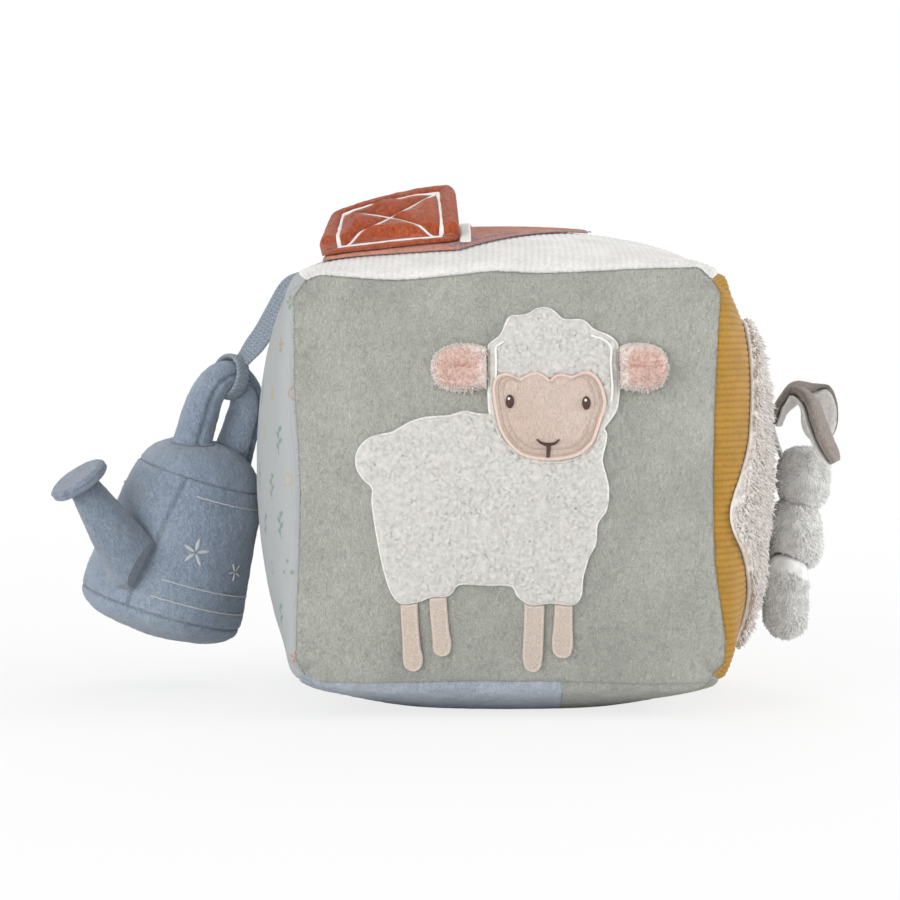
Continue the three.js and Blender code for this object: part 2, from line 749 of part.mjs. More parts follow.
function addBarn(group) {
  const holder = sideGroup(top);
  group.add(holder);
  const rust = cloth(0xb5705c);
  const step = barnLength / 8;
  const outline = barnShares.map(
    ([x, y]) => new THREE.Vector2(barnX + x * barnLength, y * barnDepth),
  );
  const barnTop = sewnGap + barnThickness;
  addPiece(holder, "barn_applique", applique(top, outline, sewnGap, barnTop, step), cloth(0xd08a72));

  const barX = barnX + barnEaveShare * barnLength + barWidth / 2;
  const barLength = barnDepth - 2 * barWidth;
  const bar = roundedRectangle(barX, 0, barWidth, barLength, barWidth / 4);
  const barLow = barnTop + sewnGap;
  const whiteBar = applique(top, bar, barLow, barLow + barThickness, step);
  addPiece(holder, "barn_white_bar", whiteBar, cloth(0xf0eeea));

  const doorY = doorFrontY + doorDepth / 2;
  const doorOutline = roundedRectangle(doorX, doorY, doorWidth, doorDepth, doorCorner);
  const filmOutline = roundedRectangle(
    doorX, doorY, doorWidth - 2 * crinkleInset, doorDepth - 2 * crinkleInset, doorCorner - crinkleInset,
  );
  const backLow = barnTop + sewnGap;
  const filmLow = backLow + doorBack + sewnGap;
  const frontLow = filmLow + crinkleThickness + sewnGap;
  const pad = (u, v) => {
    const across = (u - doorX) / (doorWidth / 2);
    const along = (v - doorY) / (doorDepth / 2);
    const rise = Math.max(1 - across ** 4, 0) * Math.max(1 - along ** 4, 0);
    return frontLow + doorFront + doorPad * Math.sqrt(rise);
  };

  const endA = facePoint(top, doorX - doorWidth / 2, doorFrontY);
  const endB = facePoint(top, doorX + doorWidth / 2, doorFrontY);
  const hinge = endA.clone().add(endB).divideScalar(2);
  hinge.z += doorHingeHeight;
  const hingeAxis = endB.sub(endA).normalize();
  const door = new THREE.Group();
  door.position.copy(hinge);
  door.quaternion.setFromAxisAngle(hingeAxis, doorRestAngle * degree);
  holder.add(door);
  const fromHinge = hinge.clone().negate().toArray();
  const doorStep = doorWidth / 6;
  const layers = [
    ["flap_back", applique(top, doorOutline, backLow, backLow + doorBack, doorStep), cloth(0xb98a7c)],
    [
      "flap_crinkle_film",
      applique(top, filmOutline, filmLow, filmLow + crinkleThickness, doorStep),
      cloth(0xdfe3e6, 0.4),
    ],
    ["flap_front", applique(top, doorOutline, frontLow, pad, doorStep), rust],
  ];
  for (const [name, solid, material] of layers) {
    addPiece(door, name, solid.translate(fromHinge), material);
  }
}

// A flat band along a path. sides gives the direction of its width at each point.
function band(points, widths, sides, low, high) {
  const rings = points.map((point, i) => {
    const before = points[Math.max(i - 1, 0)];
    const after = points[Math.min(i + 1, points.length - 1)];
    const along = after.clone().sub(before).normalize();
    const across = sides[i].clone().addScaledVector(along, -sides[i].dot(along)).normalize();
    const out = new THREE.Vector3().crossVectors(across, along);
    const corner = (side, level) =>
      point.clone().addScaledVector(across, (side * widths[i]) / 2).addScaledVector(out, level);
    return [corner(-1, low), corner(1, low), corner(1, high), corner(-1, high)];
  });
  return ringSolid(rings);
}

function tube(points, radii, count) {
  const rings = points.map((point, i) => {
    const before = points[Math.max(i - 1, 0)];
    const after = points[Math.min(i + 1, points.length - 1)];
    const along = after.clone().sub(before).normalize();
    const across = new THREE.Vector3().crossVectors(along, yAxis).normalize();
    const third = new THREE.Vector3().crossVectors(along, across);
    const ring = [];
    for (let j = 0; j < count; j++) {
      const angle = (2 * Math.PI * j) / count;
      ring.push(
        point
          .clone()
          .addScaledVector(across, radii[i] * Math.cos(angle))
          .addScaledVector(third, radii[i] * Math.sin(angle)),
      );
    }
    return ring;
  });
  return ringSolid(rings);
}

// Turns a solid that was made along +Z to run along a direction from a point.
function aimed(solid, from, direction) {
  const turn = new THREE.Quaternion().setFromUnitVectors(zAxis, direction.clone().normalize());
  const matrix = new THREE.Matrix4().compose(from, turn, unitScale);
  return solid.transform(matrix.elements);
}

// Ribbon and watering can on the left
const ribbonRouteShares = [
  [0.1, 0], [0.22, 0.005], [0.4, 0.03], [0.6, 0.1], [0.8, 0.24],
]; // drop below the seam, and how far it stands off the cloth there

function ribbonSeam() {
  const edge = sidePoint(left, -ribbonY / halfDepth, 1, 0);
  const offset = (ribbonThickness / 2 + seatGap) * Math.SQRT1_2;
  return worldPoint(left, edge).add(new THREE.Vector3(-offset, 0, offset));
}

function loopCentre() {
  const seam = ribbonSeam();
  return new THREE.Vector3(seam.x - ribbonReach, seam.y, seam.z - ribbonDrop);
}

function canAxis() {
  return new THREE.Vector3(Math.sin(canLean * degree), 0, Math.cos(canLean * degree));
}

function handleDirection() {
  const turn = new THREE.Vector3(Math.cos(canTurn * degree), Math.sin(canTurn * degree), 0);
  return turn.applyAxisAngle(yAxis, canLean * degree);
}

function addRibbon(group) {
  const seam = ribbonSeam();
  const loop = loopCentre();
  const bore = handleBar + loopClearance;
  const loopOuter = bore + loopThickness;
  const stand = (ribbonThickness / 2 + sewnGap) * Math.SQRT2;
  const route = [seam.clone()];
  for (const [dropShare, awayShare] of ribbonRouteShares) {
    const z = seam.z - ribbonDrop * dropShare;
    const x = -faceHeight(left, -ribbonY, z - centreHeight) - stand - ribbonReach * awayShare;
    route.push(new THREE.Vector3(x, ribbonY, z));
  }
  const last = route[route.length - 1];
  const toLast = last.clone().sub(loop).normalize();
  route.push(loop.clone().addScaledVector(toLast, bore + loopThickness / 2));
  const curve = new THREE.CatmullRomCurve3(route);
  const points = curve.getPoints(16);
  const widths = points.map(() => ribbonWidth);
  const sides = points.map(() => yAxis);
  const half = ribbonThickness / 2;
  const strip = band(points, widths, sides, -half, half);
  const rounding = aimed(
    uprightCylinder(half, -ribbonWidth / 2, ribbonWidth / 2, 12), seam, yAxis,
  );
  const along = handleDirection();
  const ring = aimed(uprightCylinder(loopOuter, -loopWidth / 2, loopWidth / 2, canSides), loop, along);
  const hole = aimed(
    uprightCylinder(bore, -loopWidth - cutOverrun, loopWidth + cutOverrun, canSides), loop, along,
  );
  const ribbon = strip.add(rounding).add(ring).subtract(hole);
  addPiece(group, "tether_strap", largest(ribbon), cloth(0x8d9aa6));
}

// Can outlines: shares of the radius and of the height of each cloth
const baseShares = [[0, -1], [0.4, -0.94], [0.72, -0.7], [0.92, -0.25], [1, 0.28]];
const wallShares = [[0, 0], [0.1, 0.2], [0.36, 0.5], [0.66, 0.8], [1, 1]]; // how far drawn in, how far up
const domeShares = [[1, 0], [0.875, 0.37], [0.667, 0.7], [0.375, 0.93], [0, 1]];
const spoutShares = [[0.5, -0.22], [0.9, -0.08], [1, 0], [0.87, 0.25], [0.74, 0.5], [0.61, 0.75], [0.5, 1]];
const roseShares = [
  [0, 0], [0.8, 0], [0.94, 0.15], [1, 0.5], [0.94, 0.85], [0.8, 1], [0, 1],
]; // of its radius and of its thickness

function canProfiles() {
  const baseTop = baseShares[baseShares.length - 1][1] * canBaseSag;
  const base = baseShares.map(([r, h]) => [r * canBaseRadius, h * canBaseSag]);
  const wallFoot = baseTop + seatGap;
  const wall = wallShares.map(([r, h]) => {
    const radius = THREE.MathUtils.lerp(canBaseRadius, canTopRadius, r);
    return [radius, THREE.MathUtils.lerp(wallFoot, canHeight - seatGap, h)];
  });
  const dome = domeShares.map(([r, h]) => [r * canTopRadius, canHeight + h * canDome]);
  return { base, wall, dome };
}

function canEnvelope(gap) {
  const { base, wall, dome } = canProfiles();
  return turned(insetProfile([...base, ...wall, ...dome], -gap));
}

function addWateringCan(group) {
  const blue = cloth(0x8fa0b0);
  const { base, wall, dome } = canProfiles();
  const lean = new THREE.Group();
  lean.rotation.y = canLean * degree;
  lean.position.copy(loopCentre()).addScaledVector(canAxis(), -handleTop);
  group.add(lean);
  const can = new THREE.Group();
  can.rotation.z = canTurn * degree;
  lean.add(can);

  addPiece(can, "can_base_cover", turnedShell(base, canCloth), blue);
  addPiece(can, "can_side_cover", turnedShell(wall, canCloth), blue);
  addPiece(can, "can_top_cover", turnedShell(dome, canCloth), blue);
  const stuffing = insetProfile([...base, ...wall.slice(1, -1), ...dome], canCloth + sewnGap);
  addPiece(can, "can_filling", turned(stuffing), cloth(0xf2f0ea));

  const room = canEnvelope(seatGap);
  const spoutFrom = new THREE.Vector3(spoutStart, 0, 0).applyAxisAngle(zAxis, spoutPlace * degree);
  spoutFrom.z = spoutStartHeight;
  const spoutWay = new THREE.Vector3(Math.cos(spoutLift * degree), 0, Math.sin(spoutLift * degree));
  spoutWay.applyAxisAngle(zAxis, spoutSwing * degree).multiplyScalar(spoutLength);
  const spoutProfile = [
    [0, spoutShares[0][1] * spoutLength],
    ...spoutShares.map(([r, h]) => [r * spoutFoot, h * spoutLength]),
    [0, spoutLength],
  ];
  const spout = aimed(turned(spoutProfile, 16), spoutFrom, spoutWay).subtract(room);
  addPiece(can, "can_spout", largest(spout), blue);

  const roseProfile = roseShares.map(([r, h]) => [r * roseRadius, h * roseThickness]);
  const roseFrom = spoutFrom.clone().add(spoutWay).addScaledVector(spoutWay.clone().normalize(), seatGap);
  addPiece(can, "can_rose", aimed(turned(roseProfile, 20), roseFrom, spoutWay), blue);

  const points = [];
  const radii = [];
  const springLine = handleTop - handleRadius;
  const foot = canHeight;
  const footSteps = 3;
  const archSteps = 10;
  for (const side of [-1, 1]) {
    const leg = [];
    for (let i = 0; i < footSteps; i++) {
      const z = THREE.MathUtils.lerp(foot, springLine, i / footSteps);
      leg.push(new THREE.Vector3(side * handleRadius, 0, z));
    }
    if (side < 0) points.push(...leg);
    else {
      for (let i = 0; i <= archSteps; i++) {
        const angle = Math.PI * (1 - i / archSteps);
        points.push(
          new THREE.Vector3(handleRadius * Math.cos(angle), 0, springLine + handleRadius * Math.sin(angle)),
        );
      }
      points.push(...leg.reverse());
    }
  }
  for (const point of points) {
    const rise = THREE.MathUtils.clamp((point.z - foot) / (handleTop - foot), 0, 1);
    radii.push(THREE.MathUtils.lerp(handleFoot, handleBar, rise));
  }
  addPiece(can, "can_handle", largest(tube(points, radii, 10).subtract(room)), blue);
}

// Fluffy patch and plush animal on the right
const patchShares = [
  [0.25, 0.01], [0.22, 0.07], [0.18, 0.149], [0.117, 0.226], [0.064, 0.302], [0.014, 0.37],
  [0, 0.433], [0.014, 0.495], [0.045, 0.56], [0.088, 0.648], [0.11, 0.735], [0.135, 0.822],
  [0.17, 0.91], [0.24, 0.985], [0.42, 1],
  [0.62, 0.99], [0.85, 0.92], [0.96, 0.74], [1, 0.5], [0.99, 0.28], [0.9, 0.1],
  [0.7, 0.03], [0.4, 0],
]; // across from the near edge to the far edge, up from the bottom

function patchOutline() {
  const width = patchFarY - patchNearY;
  const low = patchFoot - centreHeight;
  const corners = patchShares.map(
    ([x, y]) => new THREE.Vector3(patchNearY + x * width, low + y * patchHeight, 0),
  );
  const curve = new THREE.CatmullRomCurve3(corners, true, "catmullrom");
  return curve.getPoints(38).slice(0, -1).map((point) => new THREE.Vector2(point.x, point.y));
}

function animalPivot() {
  const onPatch = facePoint(right, 0, animalTabHeight - centreHeight, patchLift + patchThickness);
  const pivot = worldPoint(right, onPatch);
  pivot.x += tabThickness / 2 + seatGap;
  return pivot;
}

function addPatch(group) {
  const holder = sideGroup(right);
  group.add(holder);
  const step = patchHeight / 11;
  const patch = applique(right, patchOutline(), patchLift, patchLift + patchThickness, step);
  addPiece(holder, "fluffy_patch", patch, cloth(0xe2d8d4));
}

const torsoShares = [
  [0, -0.5], [0.55, -0.49], [0.86, -0.4], [1, -0.15], [0.94, 0.12], [0.76, 0.34], [0.5, 0.46], [0, 0.5],
];
const headProfileShares = [
  [0, -0.5], [0.5, -0.46], [0.84, -0.3], [1, -0.03], [0.92, 0.24], [0.68, 0.42], [0.36, 0.49], [0, 0.5],
];

function plushForm(shares, width, depth, height, centre) {
  const profile = shares.map(([r, h]) => [r, h]);
  return turned(profile, 16).scale([depth / 2, width / 2, height]).translate(centre.toArray());
}

// Shares of a leg: radius against the hip, height above the hip centre against the leg's length.
const thighShares = [[0.7, 0.35], [1, 0], [0.97, -0.3]];
const footShares = [[1, 0], [0.94, -0.5], [0.6, -0.85]]; // of the foot's radius, below the leg's length

// Direction of each ear's width at its root and at its tip, near ear first.
const earTurns = [
  [[0, 1, -0.4], [0.1, 1, 0]],
  [[0, 1, 0.3], [-1, 0.5, 0]],
];
const earTipShare = 0.78; // where along an ear its tip starts to round off
// Each ear's way out, sideways and up from its root, near ear first.
const earRouteShares = [
  [
    [0, 0, 0], [0.2, 0.1, 0.6], [0.45, 0.3, 1], [0.64, 0.55, 0.8], [0.76, 0.75, 0.15],
    [0.87, 0.9, -0.55], [1.02, 1, -1.25],
  ],
  [
    [0, 0, 0], [0.3, 0.12, 0.6], [0.62, 0.4, 1.05], [0.9, 0.65, 0.95], [1.03, 0.85, 0.3],
    [1.02, 1, -0.4], [0.99, 1, -0.95],
  ],
];

function earRoute(direction) {
  const spread = (tabWidth + earRootWidth) / 2 + 2 * seatGap;
  const start = new THREE.Vector3(tabThickness, direction * spread, -earRootDrop);
  return earRouteShares[direction < 0 ? 0 : 1].map(([out, side, up]) =>
    new THREE.Vector3(out * earReach, direction * side * earSpread, up * earRise).add(start),
  );
}

function addAnimal(group) {
  const grey = cloth(0xb9b9b4);
  const animal = new THREE.Group();
  const pivot = animalPivot();
  animal.position.copy(pivot);
  group.add(animal);

  const headCentre = new THREE.Vector3(headReach, 0, -headDrop);
  const headForm = (gap) => plushForm(
    headProfileShares, headWidth + 2 * gap, headDepth + 2 * gap, headHeight + 2 * gap, headCentre,
  );
  const head = headForm(0);
  const headRoom = headForm(seatGap);
  const torsoCentre = new THREE.Vector3(torsoReach, 0, -torsoDrop);
  const hipAt = (side) => new THREE.Vector3(hipReach, side * hipSpread, -hipDrop);
  let torso = plushForm(torsoShares, torsoWidth, torsoDepth, torsoHeight, torsoCentre).subtract(headRoom);
  for (const side of [-1, 1]) torso = torso.subtract(ball(hipRadius + hipGap, hipAt(side), 16));
  addPiece(animal, "bunny_head", head, grey);
  addPiece(animal, "bunny_torso", largest(torso), grey);

  for (const side of [-1, 1]) {
    const name = side < 0 ? "bunny_leg_left" : "bunny_leg_right";
    const leg = new THREE.Group();
    leg.position.copy(hipAt(side));
    animal.add(leg);
    const profile = [
      [0, hipRadius],
      ...thighShares.map(([r, h]) => [r * hipRadius, h * legLength]),
      ...footShares.map(([r, h]) => [r * footRadius, h * footRadius - legLength]),
      [0, -legLength - footRadius],
    ];
    addPiece(leg, name, turned(profile, 14), grey);
  }

  const tabRoute = [new THREE.Vector3()];
  const tabSteps = 4;
  for (let i = 1; i <= tabSteps; i++) {
    const drop = (tabLength * i) / tabSteps;
    const height = animalTabHeight - drop - centreHeight;
    const onPatch = facePoint(right, 0, height, patchLift + patchThickness);
    const x = worldPoint(right, onPatch).x + tabThickness / 2 + seatGap * 2 - pivot.x;
    const towardsHead = (headReach - headDepth / 2) * (i / tabSteps) ** 2;
    tabRoute.push(new THREE.Vector3(x + towardsHead, 0, -drop));
  }
  const tabWidths = tabRoute.map(() => tabWidth);
  const tabSides = tabRoute.map(() => yAxis);
  const strip = band(tabRoute, tabWidths, tabSides, -tabThickness / 2, tabThickness / 2);
  const rounding = aimed(
    uprightCylinder(tabThickness / 2, -tabWidth / 2, tabWidth / 2, 12), new THREE.Vector3(), yAxis,
  );
  addPiece(animal, "bunny_tab", largest(strip.add(rounding).subtract(headRoom)), grey);

  for (const side of [-1, 1]) {
    const name = side < 0 ? "bunny_ear_left" : "bunny_ear_right";
    const curve = new THREE.CatmullRomCurve3(earRoute(side));
    const points = curve.getPoints(20);
    const widths = points.map((point, i) => {
      const t = i / (points.length - 1);
      const full = THREE.MathUtils.lerp(earRootWidth, earWidth, Math.min(t * 2, 1));
      const pastTipStart = Math.max((t - earTipShare) / (1.02 - earTipShare), 0);
      const tip = Math.sqrt(1 - pastTipStart ** 2);
      return full * tip;
    });
    const [rootSide, tipSide] = earTurns[side < 0 ? 0 : 1].map((turn) => new THREE.Vector3(...turn));
    const sides = points.map((point, i) => rootSide.clone().lerp(tipSide, i / (points.length - 1)));
    const ear = new THREE.Group();
    animal.add(ear);
    const outer = band(points, widths, sides, -earThickness, 0);
    const lining = band(points, widths, sides, earLayerGap, earLayerGap + earThickness);
    addPiece(ear, name + "_outer", outer, cloth(0x8b7d76));
    addPiece(ear, name + "_lining", lining, cloth(0xe4dfd6));
  }
}

const activityCube = new THREE.Group();
addFilling(activityCube);
addRattle(activityCube);
addPanels(activityCube);
addSheep(activityCube);
addBarn(activityCube);
addRibbon(activityCube);
addWateringCan(activityCube);
addPatch(activityCube);
addAnimal(activityCube);

export default activityCube;
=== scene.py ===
"""Soft activity cube: cloth, pile, stitching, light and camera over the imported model.

The toy's lengths are in millimetres. Those of lamps and floor, and the camera's place, are in metres.
"""

import math

import bpy
import numpy as np
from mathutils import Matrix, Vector, geometry


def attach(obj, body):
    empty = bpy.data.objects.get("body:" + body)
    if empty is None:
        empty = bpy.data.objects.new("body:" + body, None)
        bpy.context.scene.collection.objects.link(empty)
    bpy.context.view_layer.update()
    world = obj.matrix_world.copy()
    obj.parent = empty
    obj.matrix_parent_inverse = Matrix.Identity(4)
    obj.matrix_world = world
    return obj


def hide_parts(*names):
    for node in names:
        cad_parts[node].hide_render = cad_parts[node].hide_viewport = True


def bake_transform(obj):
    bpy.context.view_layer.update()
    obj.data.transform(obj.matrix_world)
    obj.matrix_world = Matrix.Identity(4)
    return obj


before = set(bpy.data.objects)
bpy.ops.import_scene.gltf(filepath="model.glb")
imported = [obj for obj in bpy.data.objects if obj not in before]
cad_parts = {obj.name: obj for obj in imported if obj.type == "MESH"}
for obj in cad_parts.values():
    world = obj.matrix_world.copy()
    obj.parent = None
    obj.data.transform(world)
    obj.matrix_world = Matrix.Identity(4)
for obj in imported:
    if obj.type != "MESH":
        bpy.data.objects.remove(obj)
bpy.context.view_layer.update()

MM = 0.001
degree = math.pi / 180
X, Y, Z = np.eye(3)
CENTRE = np.array([0.0, 0.0, 85.7])  # middle of the stuffed cube
HALF_X, HALF_Y, HALF_Z = 75, 75, 73  # from the middle to the seams
FOOT_Z, TOP_Z = CENTRE[2] - HALF_Z, CENTRE[2] + HALF_Z  # heights of the seams
SEAM_DRAW = 2.5  # how far an edge is drawn in at its middle
SEWN_GAP = 0.4
SEAT_GAP = 0.3

# Camera and light

camera_data = bpy.data.cameras.new("photo_camera")
camera_data.sensor_width = 36
camera_data.lens = 147.2
camera_data.clip_start = 0.05
camera_data.clip_end = 60
camera = bpy.data.objects.new("photo_camera", camera_data)
bpy.context.scene.collection.objects.link(camera)
camera.location = (-0.021, -1.375, 0.1871)
camera.rotation_euler = Vector((0, 1, -0.07)).to_track_quat("-Z", "Y").to_euler()
bpy.context.scene.camera = camera
bpy.context.scene.view_settings.view_transform = "Standard"


def area_light(name, place, target, size, power):
    data = bpy.data.lights.new(name, "AREA")
    data.shape = "DISK"
    data.size = size
    data.energy = power
    lamp = bpy.data.objects.new(name, data)
    bpy.context.scene.collection.objects.link(lamp)
    lamp.location = place
    way = Vector(target) - Vector(place)
    lamp.rotation_euler = way.to_track_quat("-Z", "Y").to_euler()


area_light("key_softbox", (-1.3, -1.5, 0.6), (0, 0, 0.09), 1.3, 15.6)
area_light("low_softbox", (-0.6, -1.4, 0.06), (-0.03, 0, 0.02), 0.5, 4.4)
area_light("fill_softbox", (1.7, -0.3, 0.6), (0, 0, 0.09), 1.2, 16)
area_light("rim_softbox", (0.2, 1.2, 1.4), (0, 0, 0.1), 1.2, 8)

# Numbers from noise, and mesh helpers

table_random = np.random.default_rng(11)
ORDER = table_random.permutation(256)
VALUES = table_random.uniform(-1, 1, 256)


def noise(points, size, seed=0):
    """Smooth noise from -1 to 1 at points (..., 3), with one swing per size."""
    p = points / np.asarray(size, float) + 17.3 * seed
    cell = np.floor(p).astype(int)
    f = p - cell
    f = f * f * f * (f * (f * 6 - 15) + 10)
    total = 0.0
    for dx in (0, 1):
        wx = f[..., 0] if dx else 1 - f[..., 0]
        ix = ORDER[(cell[..., 0] + dx) & 255]
        for dy in (0, 1):
            wy = f[..., 1] if dy else 1 - f[..., 1]
            iy = ORDER[(ix + cell[..., 1] + dy) & 255]
            for dz in (0, 1):
                wz = f[..., 2] if dz else 1 - f[..., 2]
                iz = ORDER[(iy + cell[..., 2] + dz) & 255]
                total = total + wx * wy * wz * VALUES[iz]
    return total


def smooth(x, low=0.0, high=1.0):
    t = np.clip((x - low) / (high - low), 0, 1)
    return t * t * (3 - 2 * t)


def bell(x, width):
    """1 where x is 0, falling off over width."""
    return np.exp(-((x / width) ** 2))


def unit(vectors):
    return vectors / np.maximum(np.linalg.norm(vectors, axis=-1, keepdims=True), 1e-9)


def turns(count):
    """Angles of count even steps all the way round."""
    return np.linspace(0, 2 * np.pi, count, endpoint=False)


def turn_gap(angle, other):
    """The angle between two directions, from 0 to pi."""
    return np.abs((angle - other + np.pi) % (2 * np.pi) - np.pi)


def with_zero(points):
    """Flat points (n, 2) with 0 as their third coordinate."""
    return np.concatenate([points, np.zeros((len(points), 1))], 1)


def nap(coarse, fine, dip=0.0):
    """The pile tone of brushed cloth from its two noises, darker where it dips as painted shade."""
    return np.clip(0.86 + 0.12 * coarse + 0.16 * fine - dip, 0, 1)


def add_mesh(
    name, points, faces, look, body=None, pile=None, colours=None, normals=None, nodes=(),
):
    """A shown piece from points in millimetres and a list of face arrays, each (count, corners)."""
    mesh = bpy.data.meshes.new(name)
    points = np.asarray(points, float).reshape(-1, 3)
    mesh.vertices.add(len(points))
    mesh.vertices.foreach_set("co", (points * MM).astype(np.float32).ravel())
    faces = [np.asarray(f, np.int32) for f in faces if len(f)]
    loops = np.concatenate([f.ravel() for f in faces])
    totals = np.concatenate([np.full(len(f), f.shape[1], np.int32) for f in faces])
    mesh.loops.add(len(loops))
    mesh.loops.foreach_set("vertex_index", loops)
    mesh.polygons.add(len(totals))
    starts = np.concatenate([[0], np.cumsum(totals)[:-1]]).astype(np.int32)
    mesh.polygons.foreach_set("loop_start", starts)
    mesh.update(calc_edges=True)
    mesh.polygons.foreach_set("use_smooth", np.ones(len(totals), bool))
    mesh.validate()
    if pile is not None:
        layer = mesh.attributes.new("pile", "FLOAT", "POINT")
        layer.data.foreach_set("value", np.asarray(pile, np.float32).ravel())
    if colours is not None:
        layer = mesh.attributes.new("print", "FLOAT_COLOR", "POINT")
        rgba = np.concatenate([colours, np.ones((len(colours), 1))], 1)
        layer.data.foreach_set("color", rgba.astype(np.float32).ravel())
    if normals is not None:
        mesh.normals_split_custom_set_from_vertices(normals.astype(np.float32))
    mesh.materials.append(look)
    piece = bpy.data.objects.new(name, mesh)
    bpy.context.scene.collection.objects.link(piece)
    if body:
        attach(piece, body)
    if nodes:
        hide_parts(*nodes)
    return piece


def grid_faces(rows, columns, start=0, wrap=False, flip=False):
    i = np.arange(rows - 1)[:, None]
    j = np.arange(columns if wrap else columns - 1)[None, :]
    after = (j + 1) % columns
    a = start + i * columns + j
    b = start + (i + 1) * columns + j
    c = start + (i + 1) * columns + after
    d = start + i * columns + after
    quads = np.stack([a, b, c, d], -1).reshape(-1, 4)
    return quads[:, ::-1] if flip else quads


def grid_normals(points):
    """Normals of a grid of points (rows, columns, 3)."""
    down = np.gradient(points, axis=0)
    along = np.gradient(points, axis=1)
    return unit(np.cross(down, along))


def between_grids(outer, inner):
    """Points and faces of a closed sheet between two grids of one size."""
    rows, columns = outer.shape[:2]
    count = rows * columns
    faces = [grid_faces(rows, columns), grid_faces(rows, columns, count, flip=True)]
    rim = np.concatenate([
        np.arange(columns - 1),
        (np.arange(rows - 1) * columns + columns - 1),
        (rows * columns - 1 - np.arange(columns - 1)),
        ((rows - 1 - np.arange(rows - 1)) * columns),
    ])
    after = np.roll(rim, -1)
    faces.append(np.stack([rim, after, after + count, rim + count], -1))
    return np.concatenate([outer.reshape(-1, 3), inner.reshape(-1, 3)]), faces


def catmull(points, samples, closed=False, centripetal=False):
    """A Catmull-Rom curve through points, samples per stretch."""
    points = np.asarray(points, float)
    if closed:
        ring = np.concatenate([points[-1:], points, points[:2]])
    else:
        ring = np.concatenate([2 * points[:1] - points[1:2], points, 2 * points[-1:] - points[-2:-1]])
    out = []
    t = np.linspace(0, 1, samples, endpoint=False)[:, None]
    for k in range(len(ring) - 3):
        p0, p1, p2, p3 = ring[k : k + 4]
        if centripetal:
            d0, d1, d2 = (max(np.linalg.norm(q - p) ** 0.5, 1e-4) for p, q in ((p0, p1), (p1, p2), (p2, p3)))
            m1 = ((p1 - p0) / d0 - (p2 - p0) / (d0 + d1) + (p2 - p1) / d1) * d1
            m2 = ((p2 - p1) / d1 - (p3 - p1) / (d1 + d2) + (p3 - p2) / d2) * d1
        else:
            m1, m2 = (p2 - p0) / 2, (p3 - p1) / 2
        t2, t3 = t * t, t * t * t
        out.append(
            (2 * t3 - 3 * t2 + 1) * p1 + (t3 - 2 * t2 + t) * m1 + (3 * t2 - 2 * t3) * p2 + (t3 - t2) * m2
        )
    if not closed:
        out.append(points[-1:])
    return np.concatenate(out)


def resample(path, step, closed=False):
    """The path at even distances of about step."""
    ends = np.concatenate([path, path[:1]]) if closed else path
    lengths = np.linalg.norm(np.diff(ends, axis=0), axis=1)
    at = np.concatenate([[0], np.cumsum(lengths)])
    count = max(int(round(at[-1] / step)), 3)
    wanted = np.linspace(0, at[-1], count + 1)
    if closed:
        wanted = wanted[:-1]
    return np.stack([np.interp(wanted, at, ends[:, k]) for k in range(ends.shape[1])], -1)


def path_frames(path, hint, closed=False):
    """Out and across directions on a path. hint is the out direction, one or one per point."""
    if closed:
        along = unit(np.roll(path, -1, 0) - np.roll(path, 1, 0))
    else:
        along = unit(np.gradient(path, axis=0))
    hint = np.broadcast_to(np.asarray(hint, float), path.shape)
    out = unit(hint - (hint * along).sum(-1, keepdims=True) * along)
    return out, np.cross(along, out)


def tube_points(path, out, across, wide, high, sides):
    """Rings round a path: (count, sides, 3)."""
    angle = turns(sides)
    wide = np.broadcast_to(wide, (len(path),))[:, None, None]
    high = np.broadcast_to(high, (len(path),))[:, None, None]
    return (
        path[:, None]
        + across[:, None] * (np.cos(angle)[None, :, None] * wide)
        + out[:, None] * (np.sin(angle)[None, :, None] * high)
    )


def tube_faces(count, sides, start=0, closed=False):
    faces = [grid_faces(count, sides, start, wrap=True)]
    if closed:
        last = start + (count - 1) * sides + np.arange(sides)
        first = start + np.arange(sides)
        faces.append(np.stack([last, first, np.roll(first, -1), np.roll(last, -1)], -1))
    else:
        faces.append(np.arange(sides)[None, ::-1] + start)
        faces.append(np.arange(sides)[None] + start + (count - 1) * sides)
    return faces


class Bunch:
    """Collects small meshes that make one piece."""

    def __init__(self):
        self.points, self.faces, self.pile, self.normals, self.count = [], [], [], [], 0

    def add(self, points, faces, pile=1.0, normals=None):
        """normals stay the mesh's own where they are zero."""
        points = np.asarray(points, float).reshape(-1, 3)
        self.points.append(points)
        self.faces += [np.asarray(f) + self.count for f in faces]
        self.pile.append(np.broadcast_to(np.asarray(pile, float).ravel(), (len(points),)))
        self.normals.append(np.zeros_like(points) if normals is None else normals.reshape(-1, 3))
        self.count += len(points)

    def finish(self, name, look, body, nodes=()):
        sizes = sorted({f.shape[1] for f in self.faces})
        faces = [np.concatenate([f for f in self.faces if f.shape[1] == size]) for size in sizes]
        normals = np.concatenate(self.normals)
        return add_mesh(
            name, np.concatenate(self.points), faces, look, body, pile=np.concatenate(self.pile),
            normals=normals if normals.any() else None, nodes=nodes,
        )


# The cube's sides, and how far out each seam of the front lies at places along it
TOP_SEAM = [(-HALF_X, 0.4), (-71, 0.2), (-39, 0.2), (-6, 3.6), (11, 2.7), (44, 3.9), (66, 3.4), (HALF_X, 1.2)]
FOOT_SEAM = [(-HALF_X, 0.2), (-50, 2.0), (0, 3.2), (50, 2.4), (HALF_X, 0.6)]
LEFT_SEAM = [(FOOT_Z, 1.8), (40, 2.6), (80, 2.2), (120, 3.6), (150, 2.0), (TOP_Z, 0.8)]
RIGHT_SEAM = [(FOOT_Z, 1.4), (28, 3.0), (55, 0.6), (110, 0.2), (TOP_Z, 0.6)]


